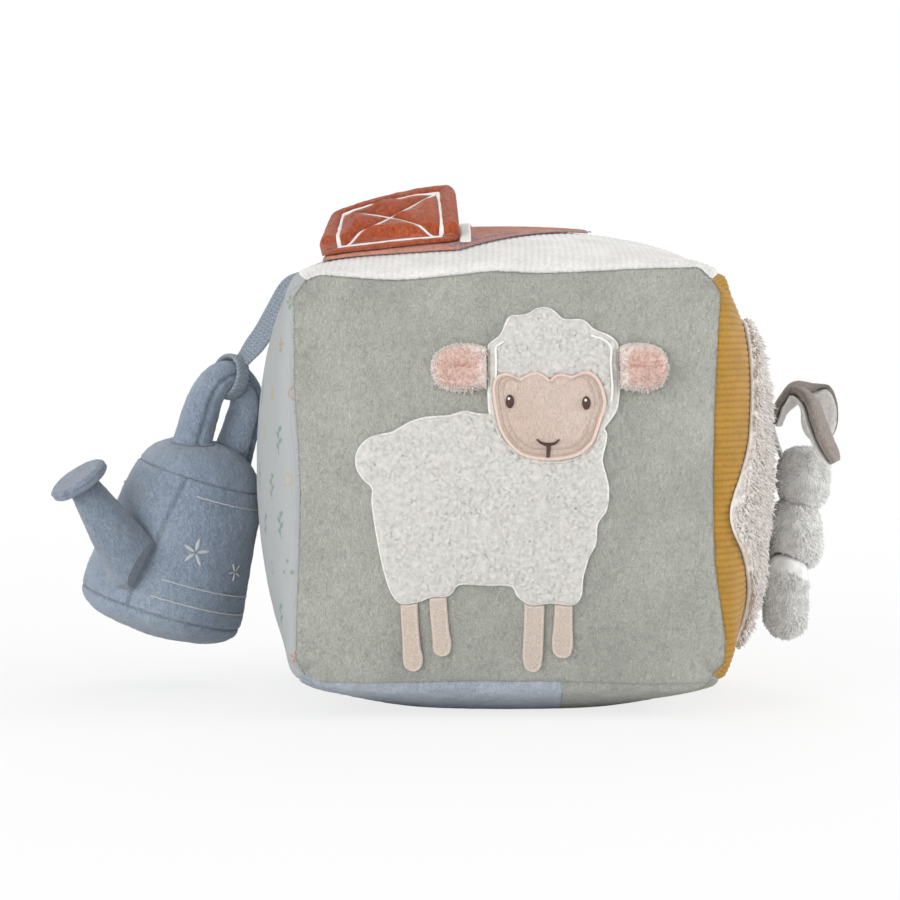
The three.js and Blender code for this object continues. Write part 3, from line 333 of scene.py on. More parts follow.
def rumple(points):
    """Slow unevenness of the stuffed cloth, shared by all that is sewn on it."""
    shift = np.stack([noise(points, 42, s) for s in (1, 2, 3)], -1) * 0.55
    x, y, z = points[..., 0], points[..., 1], points[..., 2]
    shift = shift * smooth(z, 0, 16)[..., None]
    near = bell(y + HALF_Y, 14)
    shift[..., 2] += np.interp(x, *zip(*TOP_SEAM)) * near * bell(z - TOP_Z, 18)
    shift[..., 2] -= np.interp(x, *zip(*FOOT_SEAM)) * near * bell(z - FOOT_Z, 14)
    shift[..., 0] -= np.interp(z, *zip(*LEFT_SEAM)) * near * bell(x + HALF_X, 14)
    shift[..., 0] += np.interp(z, *zip(*RIGHT_SEAM)) * near * bell(x - HALF_X, 14)
    away = np.abs(points - CENTRE) / np.array([HALF_X, HALF_Y, HALF_Z])
    corner = smooth(away.min(-1), 0.86, 1.02)
    shift -= (corner[..., None] * 3.6) * np.sign(points - CENTRE) * np.array([1, 1, 0.8])
    return points + shift


class Side:
    """A stuffed side of the cube: a and b run from -1 to 1 over it, u and v are millimetres on it."""

    def __init__(self, across, up, half_u, half_v, half_w, crown, power, lowest=1e9):
        self.across, self.up, self.out = across, up, np.cross(across, up)
        self.half_u, self.half_v, self.half_w = half_u, half_v, half_w
        self.crown, self.power, self.lowest = crown, power, lowest

    def local(self, a, b, inset=0.0, gap=0.0):
        draw_a = SEAM_DRAW * (1 - b * b)
        draw_b = SEAM_DRAW * (1 - a * a)
        swell = np.maximum((1 - a * a) * (1 - b * b), 0) ** self.power
        u = a * (self.half_u - draw_a - inset - gap)
        v = b * (self.half_v - draw_b - inset - gap)
        w = self.half_w - draw_a * a**4 - draw_b * b**4 + self.crown * swell - inset
        return np.stack([u, v, np.minimum(w, self.lowest - inset)], -1)

    def height(self, u, v):
        a, b = u / self.half_u, v / self.half_v
        for _ in range(8):
            a = np.clip(u / (self.half_u - SEAM_DRAW * (1 - b * b)), -1, 1)
            b = np.clip(v / (self.half_v - SEAM_DRAW * (1 - a * a)), -1, 1)
        return self.local(a, b)[..., 2]

    def world(self, local):
        return CENTRE + local[..., :1] * self.across + local[..., 1:2] * self.up + local[..., 2:] * self.out

    def flat_lift(self, u, v, offset=0.0):
        """Points over the side's face in its own u, v, w, offset along the face's normal."""
        step = self.half_u / 100
        slope_u = (self.height(u + step, v) - self.height(u - step, v)) / (2 * step)
        slope_v = (self.height(u, v + step) - self.height(u, v - step)) / (2 * step)
        normal = unit(np.stack([-slope_u, -slope_v, np.ones_like(slope_u)], -1))
        base = np.stack([u, v, self.height(u, v)], -1)
        return base + normal * np.asarray(offset)[..., None], normal

    def lift(self, u, v, offset=0.0):
        local, _ = self.flat_lift(u, v, offset)
        return rumple(self.world(local))

    def normal(self, u, v):
        _, n = self.flat_lift(u, v)
        return n[..., :1] * self.across + n[..., 1:2] * self.up + n[..., 2:] * self.out


FRONT = Side(X, Z, HALF_X, HALF_Z, HALF_Y, 11, 0.8)
LEFT = Side(-Y, Z, HALF_Y, HALF_Z, HALF_X, 18, 0.5)
BACK = Side(-X, Z, HALF_X, HALF_Z, HALF_Y, 13, 0.8)
RIGHT = Side(Y, Z, HALF_Y, HALF_Z, HALF_X, 19.5, 0.5)
TOP = Side(X, Y, HALF_X, HALF_Y, HALF_Z, 14, 0.5)
BOTTOM = Side(X, -Y, HALF_X, HALF_Y, HALF_Z, 18, 0.5, CENTRE[2])

# Looks


def linear(colour):
    """A hexadecimal colour as linear values."""
    parts = [int(colour[i : i + 2], 16) / 255 for i in (0, 2, 4)]
    return tuple(c / 12.92 if c <= 0.04045 else ((c + 0.055) / 1.055) ** 2.4 for c in parts)


class Look:
    """A node material with one Principled shader."""

    def __init__(self, name, roughness=0.95, sheen=0.0, sheen_roughness=0.5, specular=0.25):
        self.material = bpy.data.materials.new(name)
        self.material.use_nodes = True
        self.tree = self.material.node_tree
        self.shader = self.tree.nodes["Principled BSDF"]
        self.shader.inputs["Roughness"].default_value = roughness
        self.shader.inputs["Sheen Weight"].default_value = sheen
        self.shader.inputs["Sheen Roughness"].default_value = sheen_roughness
        self.shader.inputs["Specular IOR Level"].default_value = specular
        self.place = self.node("ShaderNodeTexCoord").outputs["Object"]

    def node(self, kind, **values):
        made = self.tree.nodes.new(kind)
        for key, value in values.items():
            setattr(made, key, value)
        return made

    def link(self, a, b):
        self.tree.links.new(a, b)

    def noise(self, size, detail=2.0, stretch=None, roughness=0.5, twist=0.0):
        """Noise with one swing per size in millimetres; stretch lengthens it along axes."""
        made = self.node("ShaderNodeTexNoise")
        made.inputs["Scale"].default_value = 1 / (size * MM)
        made.inputs["Detail"].default_value = detail
        made.inputs["Roughness"].default_value = roughness
        made.inputs["Distortion"].default_value = twist
        place = self.place
        if stretch:
            scaled = self.node("ShaderNodeVectorMath", operation="DIVIDE")
            scaled.inputs[1].default_value = stretch
            self.link(self.place, scaled.inputs[0])
            place = scaled.outputs[0]
        self.link(place, made.inputs["Vector"])
        return made.outputs["Fac"]

    def ramp(self, value, stops):
        made = self.node("ShaderNodeValToRGB")
        elements = made.color_ramp.elements
        while len(elements) < len(stops):
            elements.new(0.5)
        for element, (position, colour) in zip(elements, stops):
            element.position = position
            element.color = (*linear(colour), 1)
        self.link(value, made.inputs["Fac"])
        return made.outputs["Color"]

    def mix(self, factor, a, b, kind="MIX"):
        made = self.node("ShaderNodeMix", data_type="RGBA", blend_type=kind)
        for socket, value in ((made.inputs[0], factor), (made.inputs[6], a), (made.inputs[7], b)):
            if isinstance(value, (int, float)):
                socket.default_value = value
            elif isinstance(value, str):
                socket.default_value = (*linear(value), 1)
            else:
                self.link(value, socket)
        return made.outputs[2]

    def maths(self, operation, a, b):
        made = self.node("ShaderNodeMath", operation=operation)
        for socket, value in ((made.inputs[0], a), (made.inputs[1], b)):
            if isinstance(value, (int, float)):
                socket.default_value = value
            else:
                self.link(value, socket)
        return made.outputs[0]

    def attribute(self, name, output="Fac"):
        made = self.node("ShaderNodeAttribute", attribute_name=name)
        return made.outputs[output]

    def colour(self, output):
        self.link(output, self.shader.inputs["Base Color"])

    def bump(self, height, distance, strength=1.0):
        made = self.node("ShaderNodeBump")
        made.inputs["Strength"].default_value = strength
        made.inputs["Distance"].default_value = distance * MM
        self.link(height, made.inputs["Height"])
        self.link(made.outputs["Normal"], self.shader.inputs["Normal"])


def velour(name, dark, middle, light, sheen=0.25, nap=0.8):
    """Short brushed pile: fine flecks over slow patches."""
    look = Look(name, 0.96, sheen, 0.4, 0.15)
    flecks = look.noise(nap, 2.0, (1.0, 1.0, 1.8), 0.7, 1.6)
    patches = look.noise(24, 2.0)
    blend = look.maths("ADD", look.maths("MULTIPLY", flecks, 0.7), look.maths("MULTIPLY", patches, 0.3))
    shade = look.ramp(blend, [(0.34, dark), (0.5, middle), (0.66, light)])
    # The mesh's pile attribute darkens the colour: random nap, and painted shade at seams, in dips and over
    # parts that lie in shade.
    deep = look.ramp(look.attribute("pile"), [(0.0, "b4b4b4"), (0.85, "ffffff")])
    look.colour(look.mix(1.0, shade, deep, "MULTIPLY"))
    look.bump(look.noise(nap * 0.8, 2.0, (1.0, 1.0, 2.0), 0.65, 1.6), 0.7, 1.0)
    return look.material


def corduroy(name, valley, middle, ridge):
    """Ribs are in the mesh, and the pile attribute is 0 in a valley and 1 on a ridge; the valleys' darker
    colour is painted shade.
    """
    look = Look(name, 0.95, 0.2, 0.5, 0.15)
    pile = look.attribute("pile")
    shade = look.ramp(pile, [(0.0, valley), (0.4, middle), (1.0, ridge)])
    flecks = look.ramp(look.noise(1.1, 3.0), [(0.3, "ececec"), (0.7, "ffffff")])
    worn = look.ramp(look.noise(14, 2.0, (1.0, 1.0, 0.6)), [(0.35, "f2f2f2"), (0.65, "ffffff")])
    look.colour(look.mix(1.0, look.mix(1.0, shade, flecks, "MULTIPLY"), worn, "MULTIPLY"))
    look.bump(look.noise(0.6, 2.0), 0.12, 0.5)
    return look.material


def pile_cloth(name, root, middle, tip, sheen=0.3, grain=1.2):
    """Cloth with real tufts or curls in the mesh; pile runs from root to tip, and its low end paints shade at
    tuft roots, under curls and in hollows besides the cloth's own tones.
    """
    look = Look(name, 0.97, sheen, 0.4, 0.1)
    shade = look.ramp(look.attribute("pile"), [(0.0, root), (0.5, middle), (1.0, tip)])
    flecks = look.ramp(look.noise(grain, 2.0), [(0.3, "e4e4e4"), (0.7, "ffffff")])
    look.colour(look.mix(1.0, shade, flecks, "MULTIPLY"))
    look.bump(look.noise(0.5, 2.0), 0.15, 0.5)
    return look.material


def thread(name, dark, light, size=0.5, sheen=0.1):
    """Satin stitch: fine ridges with a soft gloss."""
    look = Look(name, 0.55, sheen, 0.4, 0.4)
    grain = look.noise(size, 2.0, (1.6, 1.0, 0.7))
    look.colour(look.ramp(grain, [(0.3, dark), (0.7, light)]))
    look.bump(look.noise(size * 0.6, 1.0, (2.5, 1.0, 0.5)), 0.12, 0.6)
    return look.material


WAVE_SCALE = 0.314  # of a wave texture whose bands lie 1 m apart


def crossed_threads(look, pitch, twist):
    """Heights of plain woven threads that cross, pitch apart."""
    waves = []
    for direction in ("Y", "Z"):
        wave = look.node("ShaderNodeTexWave", wave_type="BANDS", bands_direction=direction)
        wave.inputs["Scale"].default_value = WAVE_SCALE / (pitch * MM)
        wave.inputs["Distortion"].default_value = twist
        look.link(look.place, wave.inputs["Vector"])
        waves.append(wave.outputs["Fac"])
    return look.maths("MULTIPLY", *waves)


def weave(name, dark, light, pitch=0.5):
    """Plain woven cotton with crossing threads."""
    look = Look(name, 0.88, 0.1, 0.5, 0.2)
    threads = crossed_threads(look, pitch, 0.6)
    slow = look.maths("MULTIPLY", look.noise(7), 0.5)
    grain = look.maths("ADD", look.maths("MULTIPLY", threads, 0.5), slow)
    look.colour(look.ramp(grain, [(0.2, dark), (0.6, light)]))
    look.bump(threads, 0.12, 0.6)
    return look.material


def printed_cotton(name):
    """Woven cotton whose colours are the mesh's own."""
    look = Look(name, 0.88, 0.08, 0.5, 0.2)
    threads = crossed_threads(look, 0.45, 0.5)
    shade = look.ramp(threads, [(0.1, "eef0f0"), (0.8, "ffffff")])
    look.colour(look.mix(1.0, look.attribute("print", "Color"), shade, "MULTIPLY"))
    look.bump(threads, 0.1, 0.5)
    return look.material


def knitted(name, dark, light):
    """Ribbon with small slanting stitches, darker between them as painted shade."""
    look = Look(name, 0.9, 0.2, 0.5, 0.2)
    shade = look.ramp(look.attribute("pile"), [(0.0, dark), (0.8, light)])
    flecks = look.ramp(look.noise(0.7, 2.0), [(0.3, "d8d8d8"), (0.7, "ffffff")])
    look.colour(look.mix(1.0, shade, flecks, "MULTIPLY"))
    look.bump(look.noise(0.4, 2.0), 0.15, 0.6)
    return look.material


def plastic(name, dark, light, roughness):
    look = Look(name, roughness, 0.0, 0.5, 0.5)
    look.colour(look.ramp(look.noise(6, 2.0), [(0.3, dark), (0.7, light)]))
    look.bump(look.noise(0.8, 1.0), 0.05, 0.3)
    return look.material


SAGE = velour("sage_velour", "999b95", "adaea6", "c1c2bb")
BACK_SAGE = velour("back_sage_velour", "999b95", "adaea6", "c1c2bb")
BLUE = velour("base_blue_velour", "9fa9b7", "b2bac6", "c5cbd5")
CAN_BLUE = velour("can_blue_velour", "7d8b9f", "929fb1", "a9b5c2", 0.5, 1.0)
PRINT = printed_cotton("printed_cotton")
OCHRE = corduroy("ochre_corduroy", "a47c3b", "b38839", "bb8f41")
WHITE_CORD = corduroy("white_corduroy", "e7e6e2", "ebeae7", "eeedea")
FLEECE = pile_cloth("boucle_fleece", "cfcdc5", "d6d3cd", "dcdad5", 0.3, 1.6)
FACE = velour("face_velour", "cfb8ab", "d5c1b5", "dccabf", 0.2, 0.9)
EAR_WHITE = pile_cloth("ear_back_plush", "d8ccc3", "e2d9d2", "eae3dd", 0.25, 0.8)
EAR_PINK = pile_cloth("ear_front_plush", "d8a99b", "e2c3b8", "eae1da", 0.25, 0.8)
PEACH_THREAD = thread("peach_thread", "d9bfb2", "e6d2c6")
GREY_THREAD = thread("grey_brown_thread", "b3a096", "c6b4aa")
BROWN_THREAD = thread("brown_thread", "35211b", "5c4038", 0.35)
WHITE_THREAD = thread("white_thread", "e4e3e0", "f7f6f4")
BLUE_THREAD = thread("blue_thread", "76809c", "959cb6")
CREAM_THREAD = thread("cream_thread", "b5b8bd", "cccdcf")
BARN = velour("barn_cloth", "c58270", "d29482", "dda595", 0.15, 0.8)
RUST = velour("rust_velour", "8d3a20", "ad5132", "c36a46", 0.4, 1.0)
RUST_BACK = velour("rust_back_velour", "8f3e25", "ab5335", "be6848", 0.35, 1.0)
WHITE_COTTON = weave("white_cotton", "dddbd6", "f2f1ee")
BATTING = pile_cloth("polyester_filling", "d8d5cd", "efede7", "f7f5f0", 0.1, 4.0)
RIBBON = knitted("knitted_ribbon", "6f7a86", "9da8b3")
PATCH = pile_cloth("cream_plush", "e6ddd6", "eee6e0", "f4eee9", 0.3, 3)
PATCH_EDGE = velour("cream_plush_edge", "efeae6", "f6f3f0", "fbf9f8", 0.2, 1.2)
BUNNY = pile_cloth("grey_plush", "f0f0ec", "f7f7f4", "fcfcfa", 0.4, 3)
BUNNY_CLOTH = velour("grey_plush_ground", "cfcfca", "dadad6", "e4e4e1", 0.3, 1.0)
TAUPE = velour("taupe_velour", "8a7e77", "a0948d", "b3a8a1", 0.4, 0.9)
LINING = velour("cream_lining", "f3f0ea", "f9f7f2", "fdfcfa", 0.3, 1.0)
LEG_LOOK = pile_cloth("beige_satin_stitch", "b3a195", "cfbfb3", "e0d2c8", 0.1, 0.7)
FILM = plastic("crinkle_film", "d2d8dc", "e6eaec", 0.35)

for node, look in {
    "rattle_shell_lower": plastic("rattle_plastic", "dcd5c0", "ebe6d6", 0.45),
    "rattle_shell_upper": plastic("rattle_plastic_upper", "dcd5c0", "ebe6d6", 0.45),
    "rattle_bead_1": plastic("bead_plastic_1", "b95a3c", "d2765a", 0.3),
    "rattle_bead_2": plastic("bead_plastic_2", "b95a3c", "d2765a", 0.3),
    "rattle_bead_3": plastic("bead_plastic_3", "b95a3c", "d2765a", 0.3),
}.items():
    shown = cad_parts[node]
    shown.data.materials.clear()
    shown.data.materials.append(look)

# Cube panels


def even_shares(side, step, along_u):
    """Values of a, or of b, whose points lie step apart on the cloth through the side's middle."""
    t = np.linspace(-1, 1, 4001)
    zero = np.zeros_like(t)
    line = side.local(t, zero) if along_u else side.local(zero, t)
    lengths = np.concatenate([[0], np.cumsum(np.linalg.norm(np.diff(line, axis=0), axis=1))])
    count = int(round(lengths[-1] / step))
    wanted = np.linspace(0, lengths[-1], count + 1)
    return np.interp(wanted, lengths, t), wanted - lengths[-1] / 2


CLOTH = 2.0
ROUND = 1.3  # radius of the cloth's turn into a seam
SEAM_HALF_GAP = 0.25


def panel(side, step_u, step_v, relief):
    """The outer and inner grids of a side's cloth. relief gives its height from the grid's own distances."""
    a, s = even_shares(side, step_u, True)
    b, t = even_shares(side, step_v, False)
    a, b = np.meshgrid(a, b, indexing="ij")
    s, t = np.meshgrid(s, t, indexing="ij")
    local = side.local(a, b, 0, SEAM_HALF_GAP)
    inner = side.local(a, b, CLOTH, SEAM_HALF_GAP)
    from_u = (1 - np.abs(a)) * side.half_u
    from_v = (1 - np.abs(b)) * side.half_v
    from_seam = np.minimum(from_u, from_v)
    world = side.world(local)
    out = grid_normals(world)
    flip = np.sign((out * side.out).sum(-1).mean())
    out = out * flip
    height, pile = relief(world, s, t, from_seam)
    turn = np.clip(1 - from_seam / ROUND, 0, 1)
    height = height * smooth(from_seam, 0, 2.0)
    pucker = noise(world, 5.5, 9) * 0.45 * np.exp(-from_seam / 5) * smooth(from_seam, 0, 1.5)
    drop = ROUND * (1 - np.sqrt(1 - turn**2))
    grounded = smooth(world[..., 2], -0.5, 3.0) if side is BOTTOM else 1.0
    moved = world + out * ((height + pucker) * grounded)[..., None] - side.out * (drop * 0.6)[..., None]
    if side is BOTTOM:
        moved[..., 2] = np.maximum(moved[..., 2], 0.05)
    near = (from_seam > 0.05) & (from_seam < 0.8)
    aside = world[near] - CENTRE
    aside = unit(aside - (aside * out[near]).sum(-1, keepdims=True) * out[near])
    fuzz = rumple(moved)[near], unit(out[near] + aside * 0.9)
    # The pile is darkened towards the seams: painted shade where the cloth turns into them.
    return rumple(moved), rumple(side.world(inner)), pile * smooth(from_seam, -3.5, 1.2), fuzz


def tufts(roots, outs, lengths, radius, seed, droop=0.35, tone=1.0):
    """Points, faces and pile of small bent tufts, one at each root."""
    random = np.random.default_rng(seed)
    count = len(roots)
    down = np.array([0, 0, -1.0])
    way = unit(outs * 0.7 + random.normal(0, 0.3, (count, 3)) + down * 0.3)
    side = unit(np.cross(way, random.normal(0, 1, (count, 3))))
    other = np.cross(way, side)
    lengths = np.asarray(lengths)[:, None] * random.uniform(0.75, 1.2, (count, 1))
    bend = (down * droop + random.normal(0, 0.22, (count, 3))) * lengths
    wide = radius * random.uniform(0.8, 1.25, (count, 1))
    rings = []
    for share, size in ((-0.1, 1.0), (0.45, 0.85), (0.8, 0.5)):
        middle = roots + way * lengths * share + bend * share**2 * np.sign(share)
        for k in range(4):
            angle = k * np.pi / 2 + share
            round_way = side * np.cos(angle) + other * np.sin(angle)
            rings.append(middle + round_way * wide * size)
    rings.append(roots + way * lengths + bend)
    points = np.stack(rings, 1)
    base = np.arange(count)[:, None] * 13
    quads, triangles = [], []
    for k in range(4):
        n = (k + 1) % 4
        for level in (0, 4):
            quads.append(base + np.array([level + k, level + n, level + 4 + n, level + 4 + k]))
        triangles.append(base + np.array([8 + k, 8 + n, 12]))
    # Painted shade: each tuft darker at its root than at its tip.
    shade = np.array([0.7] * 4 + [0.9] * 4 + [1.0] * 5)
    pile = shade[None] * random.uniform(0.82, 1.05, (count, 1)) * np.asarray(tone).reshape(-1, 1)
    return points, [np.concatenate(quads), np.concatenate(triangles)], np.clip(pile, 0, 1)


def add_panel(name, side, step_u, step_v, relief, look, slot, nodes, keep=slice(None), fuzzy=False):
    outer, inner, pile, (roots, outs) = panel(side, step_u, step_v, relief)
    outer, inner, pile = outer[keep], inner[keep], pile[keep]
    bunch = Bunch()
    bunch.add(*between_grids(outer, inner), np.concatenate([pile.ravel(), np.zeros(pile.size)]))
    if fuzzy:
        bunch.add(*tufts(roots[::2], outs[::2], np.full(len(roots[::2]), 0.8), 0.17, 15, 0.2))
    piece = bunch.finish(name, look, "cube", nodes)


def velour_relief(world, s, t, from_seam):
    coarse = noise(world, (1.9, 1.9, 2.8), 5)
    fine = noise(world, 1.1, 6)
    height = 0.15 * coarse + 0.13 * fine
    return height, nap(coarse, fine)


RIB_PITCH = 2.3
RIB_HEIGHT = 0.3
LOW_RIBS = 0.2  # on the top, which is a flatter corduroy
ALONG_RIBS, ACROSS_RIBS = 1.3, RIB_PITCH / 7  # steps of the mesh


def ribs(distance, world, high=RIB_HEIGHT):
    wander = noise(world, 30, 12) * 0.5 + noise(world, 7, 14) * 0.12
    wave = 0.5 + 0.5 * np.cos(2 * np.pi * (distance + wander) / RIB_PITCH)
    wave = wave**0.7
    rough = noise(world, 1.3, 13) * 0.03
    # The second value, low in the valleys, darkens them as painted shade.
    return high * wave + rough - high / 2, wave


add_panel("front_velour", FRONT, 0.55, 0.55, velour_relief, SAGE, "velour_sage", ["front_panel"], fuzzy=True)
add_panel("back_velour", BACK, 0.8, 0.8, velour_relief, BACK_SAGE, "velour_sage", ["back_panel"], fuzzy=True)
add_panel(
    "right_corduroy", RIGHT, ALONG_RIBS, ACROSS_RIBS, lambda w, s, t, d: ribs(t, w), OCHRE, "corduroy_ochre",
    ["right_panel"],
)
add_panel(
    "top_corduroy", TOP, ACROSS_RIBS, ALONG_RIBS, lambda w, s, t, d: ribs(s, w, LOW_RIBS), WHITE_CORD,
    "corduroy_white", ["top_panel"],
)

SPLIT_X = 20.0  # where the underside's two cloths meet
BOTTOM_STEP = 0.9
bottom_a, _ = even_shares(BOTTOM, BOTTOM_STEP, True)
split = int(np.argmin(np.abs(bottom_a * HALF_X - SPLIT_X)))
for tone, look, keep in (("blue", BLUE, slice(split + 1)), ("sage", SAGE, slice(split, None))):
    add_panel(
        "bottom_%s_velour" % tone, BOTTOM, BOTTOM_STEP, BOTTOM_STEP, velour_relief, look, "velour_" + tone,
        ["bottom_panel_" + tone], keep,
    )


# Print on the left side: small leaves, dots and flowers in a loose, staggered order
PRINT_GROUND = np.array(linear("b4b6b7"))
PRINT_COLOURS = [np.array(linear(c)) for c in ("7f998b", "bf8a7e", "6f7e9b", "c4a56e", "96a4b0")]


def print_colours(u, v):
    random = np.random.default_rng(31)
    colours = np.broadcast_to(PRINT_GROUND, u.shape + (3,)).copy()

    def paint(mask, colour):
        colours[:] = colours * (1 - mask[..., None]) + colour * mask[..., None]

    def petal(x, y, length, width, colour):
        inside = 1 - ((x / length - 0.5) * 2) ** 2
        edge = np.abs(y) - width * np.sqrt(np.clip(inside, 0, 1))
        paint(smooth(-edge, -0.25, 0.35) * (inside > 0) * 0.9, colour)

    row = 0
    for y0 in np.arange(-64, 70, 15.5):
        row += 1
        for x0 in np.arange(-66, 70, 19.0):
            cx = x0 + (9.5 if row % 2 else 0) + random.uniform(-2.5, 2.5)
            cy = y0 + random.uniform(-2, 2)
            kind = int(random.integers(0, 4))
            turn = random.uniform(0, 2 * np.pi)
            colour = PRINT_COLOURS[int(random.integers(0, 4))]
            x, y = u - cx, v - cy
            if kind == 0:
                for k in range(5):
                    angle = turn + k * 2 * np.pi / 5
                    px, py = x * np.cos(angle) + y * np.sin(angle), -x * np.sin(angle) + y * np.cos(angle)
                    petal(px - 0.7, py, 2.3, 0.7, colour)
                paint(smooth(-(np.hypot(x, y) - 0.7), -0.2, 0.3), PRINT_COLOURS[3])
            elif kind == 1:
                lean = random.uniform(-0.4, 0.4)
                px, py = x * np.cos(lean) + y * np.sin(lean), -x * np.sin(lean) + y * np.cos(lean)
                stem = smooth(-(np.abs(px) - 0.25), -0.2, 0.2) * (np.abs(py) < 5)
                paint(stem * 0.8, PRINT_COLOURS[0] * 0.7)
                for k, side in enumerate((-1, 1, -1, 1)):
                    along = py + 3.2 - k * 2.0
                    qx, qy = side * px * 0.8 + along * 0.6, -side * px * 0.6 + along * 0.8
                    petal(qx, qy, 3.2, 0.85, PRINT_COLOURS[0])
            elif kind == 2:
                for k in range(3):
                    gap = 2.6
                    ox, oy = gap * np.cos(turn + k * 2.1), gap * np.sin(turn + k * 2.1)
                    paint(smooth(-(np.hypot(x - ox, y - oy) - 0.8), -0.2, 0.3) * 0.85, colour)
            else:
                ring = np.abs(np.hypot(x, y) - 2.2) - 0.3
                paint(smooth(-ring, -0.2, 0.25) * 0.7, colour)
    return colours


PRINT_STEP = 0.45


def cotton_relief(world, s, t, from_seam):
    return noise(world, 9, 8) * 0.12, np.ones_like(s)


def add_left_panel():
    outer, inner, _, _ = panel(LEFT, PRINT_STEP, PRINT_STEP, cotton_relief)
    _, s = even_shares(LEFT, PRINT_STEP, True)
    _, t = even_shares(LEFT, PRINT_STEP, False)
    s, t = np.meshgrid(s, t, indexing="ij")
    points, faces = between_grids(outer, inner)
    colours = print_colours(s, t).reshape(-1, 3)
    colours = np.concatenate([colours, np.broadcast_to(PRINT_GROUND, colours.shape)])
    piece = add_mesh(
        "left_printed_cotton", points, faces, PRINT, "cube", colours=colours,
        nodes=["left_panel"],
    )


add_left_panel()


RATTLE_ROOM = 18.6  # radius of the hollow round the rattle


def add_filling():
    """Batting under the cloths, hollow round the rattle."""
    t = np.sin(np.linspace(-1, 1, 25) * np.pi / 2)
    a, b = np.meshgrid(t, t, indexing="ij")
    bunch = Bunch()
    for side in (FRONT, LEFT, BACK, RIGHT, TOP, BOTTOM):
        world = side.world(side.local(a, b, CLOTH + SEWN_GAP))
        lumps = world + side.out * (noise(world, 14, 20) * 0.15 - 0.1)[..., None]
        edge = np.maximum(np.abs(a), np.abs(b)) > 0.999
        lumps[edge] = world[edge]
        pile = 0.5 + 0.5 * noise(world, 9, 21)
        bunch.add(rumple(lumps), [grid_faces(25, 25)], pile)
    polar, turn = np.meshgrid(np.linspace(0.001, np.pi - 0.001, 24), turns(40), indexing="ij")
    ball = np.stack([np.sin(polar) * np.cos(turn), np.sin(polar) * np.sin(turn), np.cos(polar)], -1)
    bunch.add(CENTRE + ball * RATTLE_ROOM, [grid_faces(24, 40, wrap=True, flip=True)], 0.6)
    nodes = ["filling_core", "filling_plug"]
    piece = bunch.finish("filling_batting", BATTING, "cube", nodes)


add_filling()

# Flat work: outlines in a side's u and v, filled with triangles


def outline_distance(points, outline):
    """Distance of points (n, 2) from a closed outline."""
    start = outline
    way = np.roll(outline, -1, 0) - outline
    length = np.maximum((way**2).sum(-1), 1e-12)
    nearest = np.full(len(points), 1e9)
    for first in range(0, len(points), 4000):
        part = points[first : first + 4000, None]
        t = np.clip(((part - start) * way).sum(-1) / length, 0, 1)
        gap = np.linalg.norm(part - start - t[..., None] * way, axis=-1)
        nearest[first : first + 4000] = gap.min(1)
    return nearest


def inside(points, outline):
    x, y = points[:, 0], points[:, 1]
    hits = np.zeros(len(points), bool)
    after = np.roll(outline, -1, 0)
    for (x0, y0), (x1, y1) in zip(outline, after):
        if y0 == y1:
            continue
        crosses = (y0 > y) != (y1 > y)
        hits ^= crosses & (x < (x1 - x0) * (y - y0) / (y1 - y0) + x0)
    return hits


def fill_outline(outline, step):
    """(points, triangles, indices of the outline's points) of a filled outline."""
    low, high = outline.min(0), outline.max(0)
    xs = np.arange(low[0], high[0] + step, step)
    ys = np.arange(low[1], high[1] + step, step * 0.866)
    x, y = np.meshgrid(xs, ys, indexing="ij")
    x = x + (np.arange(len(ys)) % 2)[None] * step / 2
    spots = np.stack([x.ravel(), y.ravel()], -1)
    spots = spots[inside(spots, outline)]
    spots = spots[outline_distance(spots, outline) > step * 0.5]
    corners = [Vector(p) for p in outline] + [Vector(p) for p in spots]
    border = [list(range(len(outline)))]
    points, _, faces, origin, _, _ = geometry.delaunay_2d_cdt(corners, [], border, 1, 1e-7)
    place = {}
    for new, olds in enumerate(origin):
        for old in olds:
            place[old] = new
    ring = np.array([place[i] for i in range(len(outline))])
    return np.array([tuple(p) for p in points]), np.array(faces), ring


def signed_area(outline):
    after = np.roll(outline, -1, 0)
    return 0.5 * (outline[:, 0] * after[:, 1] - after[:, 0] * outline[:, 1]).sum()


def sewn(side, outline, low, height, step, place=None, under=4.0):
    """Points, faces and pile of a closed piece on a side. height(points, distance) gives heights and pile."""
    if signed_area(outline) < 0:
        outline = outline[::-1]
    place = place or side.lift
    ring = resample(outline, step, True)
    points, faces, rim = fill_outline(ring, step)
    level, pile = height(points, outline_distance(points, outline))
    top = place(points[:, 0], points[:, 1], level)
    base, base_faces, base_rim = fill_outline(ring, under)
    bottom = place(base[:, 0], base[:, 1], np.full(len(base), low))
    bottom_faces = base_faces[:, ::-1] + len(top)
    base_rim = base_rim + len(top)
    walls = np.stack([rim, base_rim, np.roll(base_rim, -1), np.roll(rim, -1)], -1)
    pile = np.concatenate([np.broadcast_to(pile, (len(top),)), np.zeros(len(bottom))])
    return np.concatenate([top, bottom]), [faces, bottom_faces, walls], pile


def rounded(distance, radius):
    return np.sqrt(np.clip(1 - (1 - np.clip(distance / radius, 0, 1)) ** 2, 0, 1))


def cord_on(side, outline, offset, wide, high, pitch=0.6, closed=True, place=None):
    """A satin-stitched ridge along an outline on a side."""
    place = place or side.lift
    path2 = resample(outline, pitch / 4, closed)
    path = place(path2[:, 0], path2[:, 1], np.full(len(path2), offset))
    out = place(path2[:, 0], path2[:, 1], np.full(len(path2), offset + 1.0)) - path
    out, across = path_frames(path, out, closed)
    sides = 8
    rings = tube_points(path, out, across, wide / 2, high, sides)
    phase = 2 * np.pi * np.arange(len(path)) / 4
    swell = 1 + 0.07 * np.cos(phase[:, None] + turns(sides)[None])
    rings = path[:, None] + (rings - path[:, None]) * swell[..., None]
    if not closed:
        gone = np.arange(len(path)) * pitch / 4
        taper = np.minimum(rounded(gone, wide / 2), rounded(gone[::-1], wide / 2))
        rings = path[:, None] + (rings - path[:, None]) * (0.15 + 0.85 * taper)[:, None, None]
    return rings.reshape(-1, 3), tube_faces(len(path), sides, closed=closed)


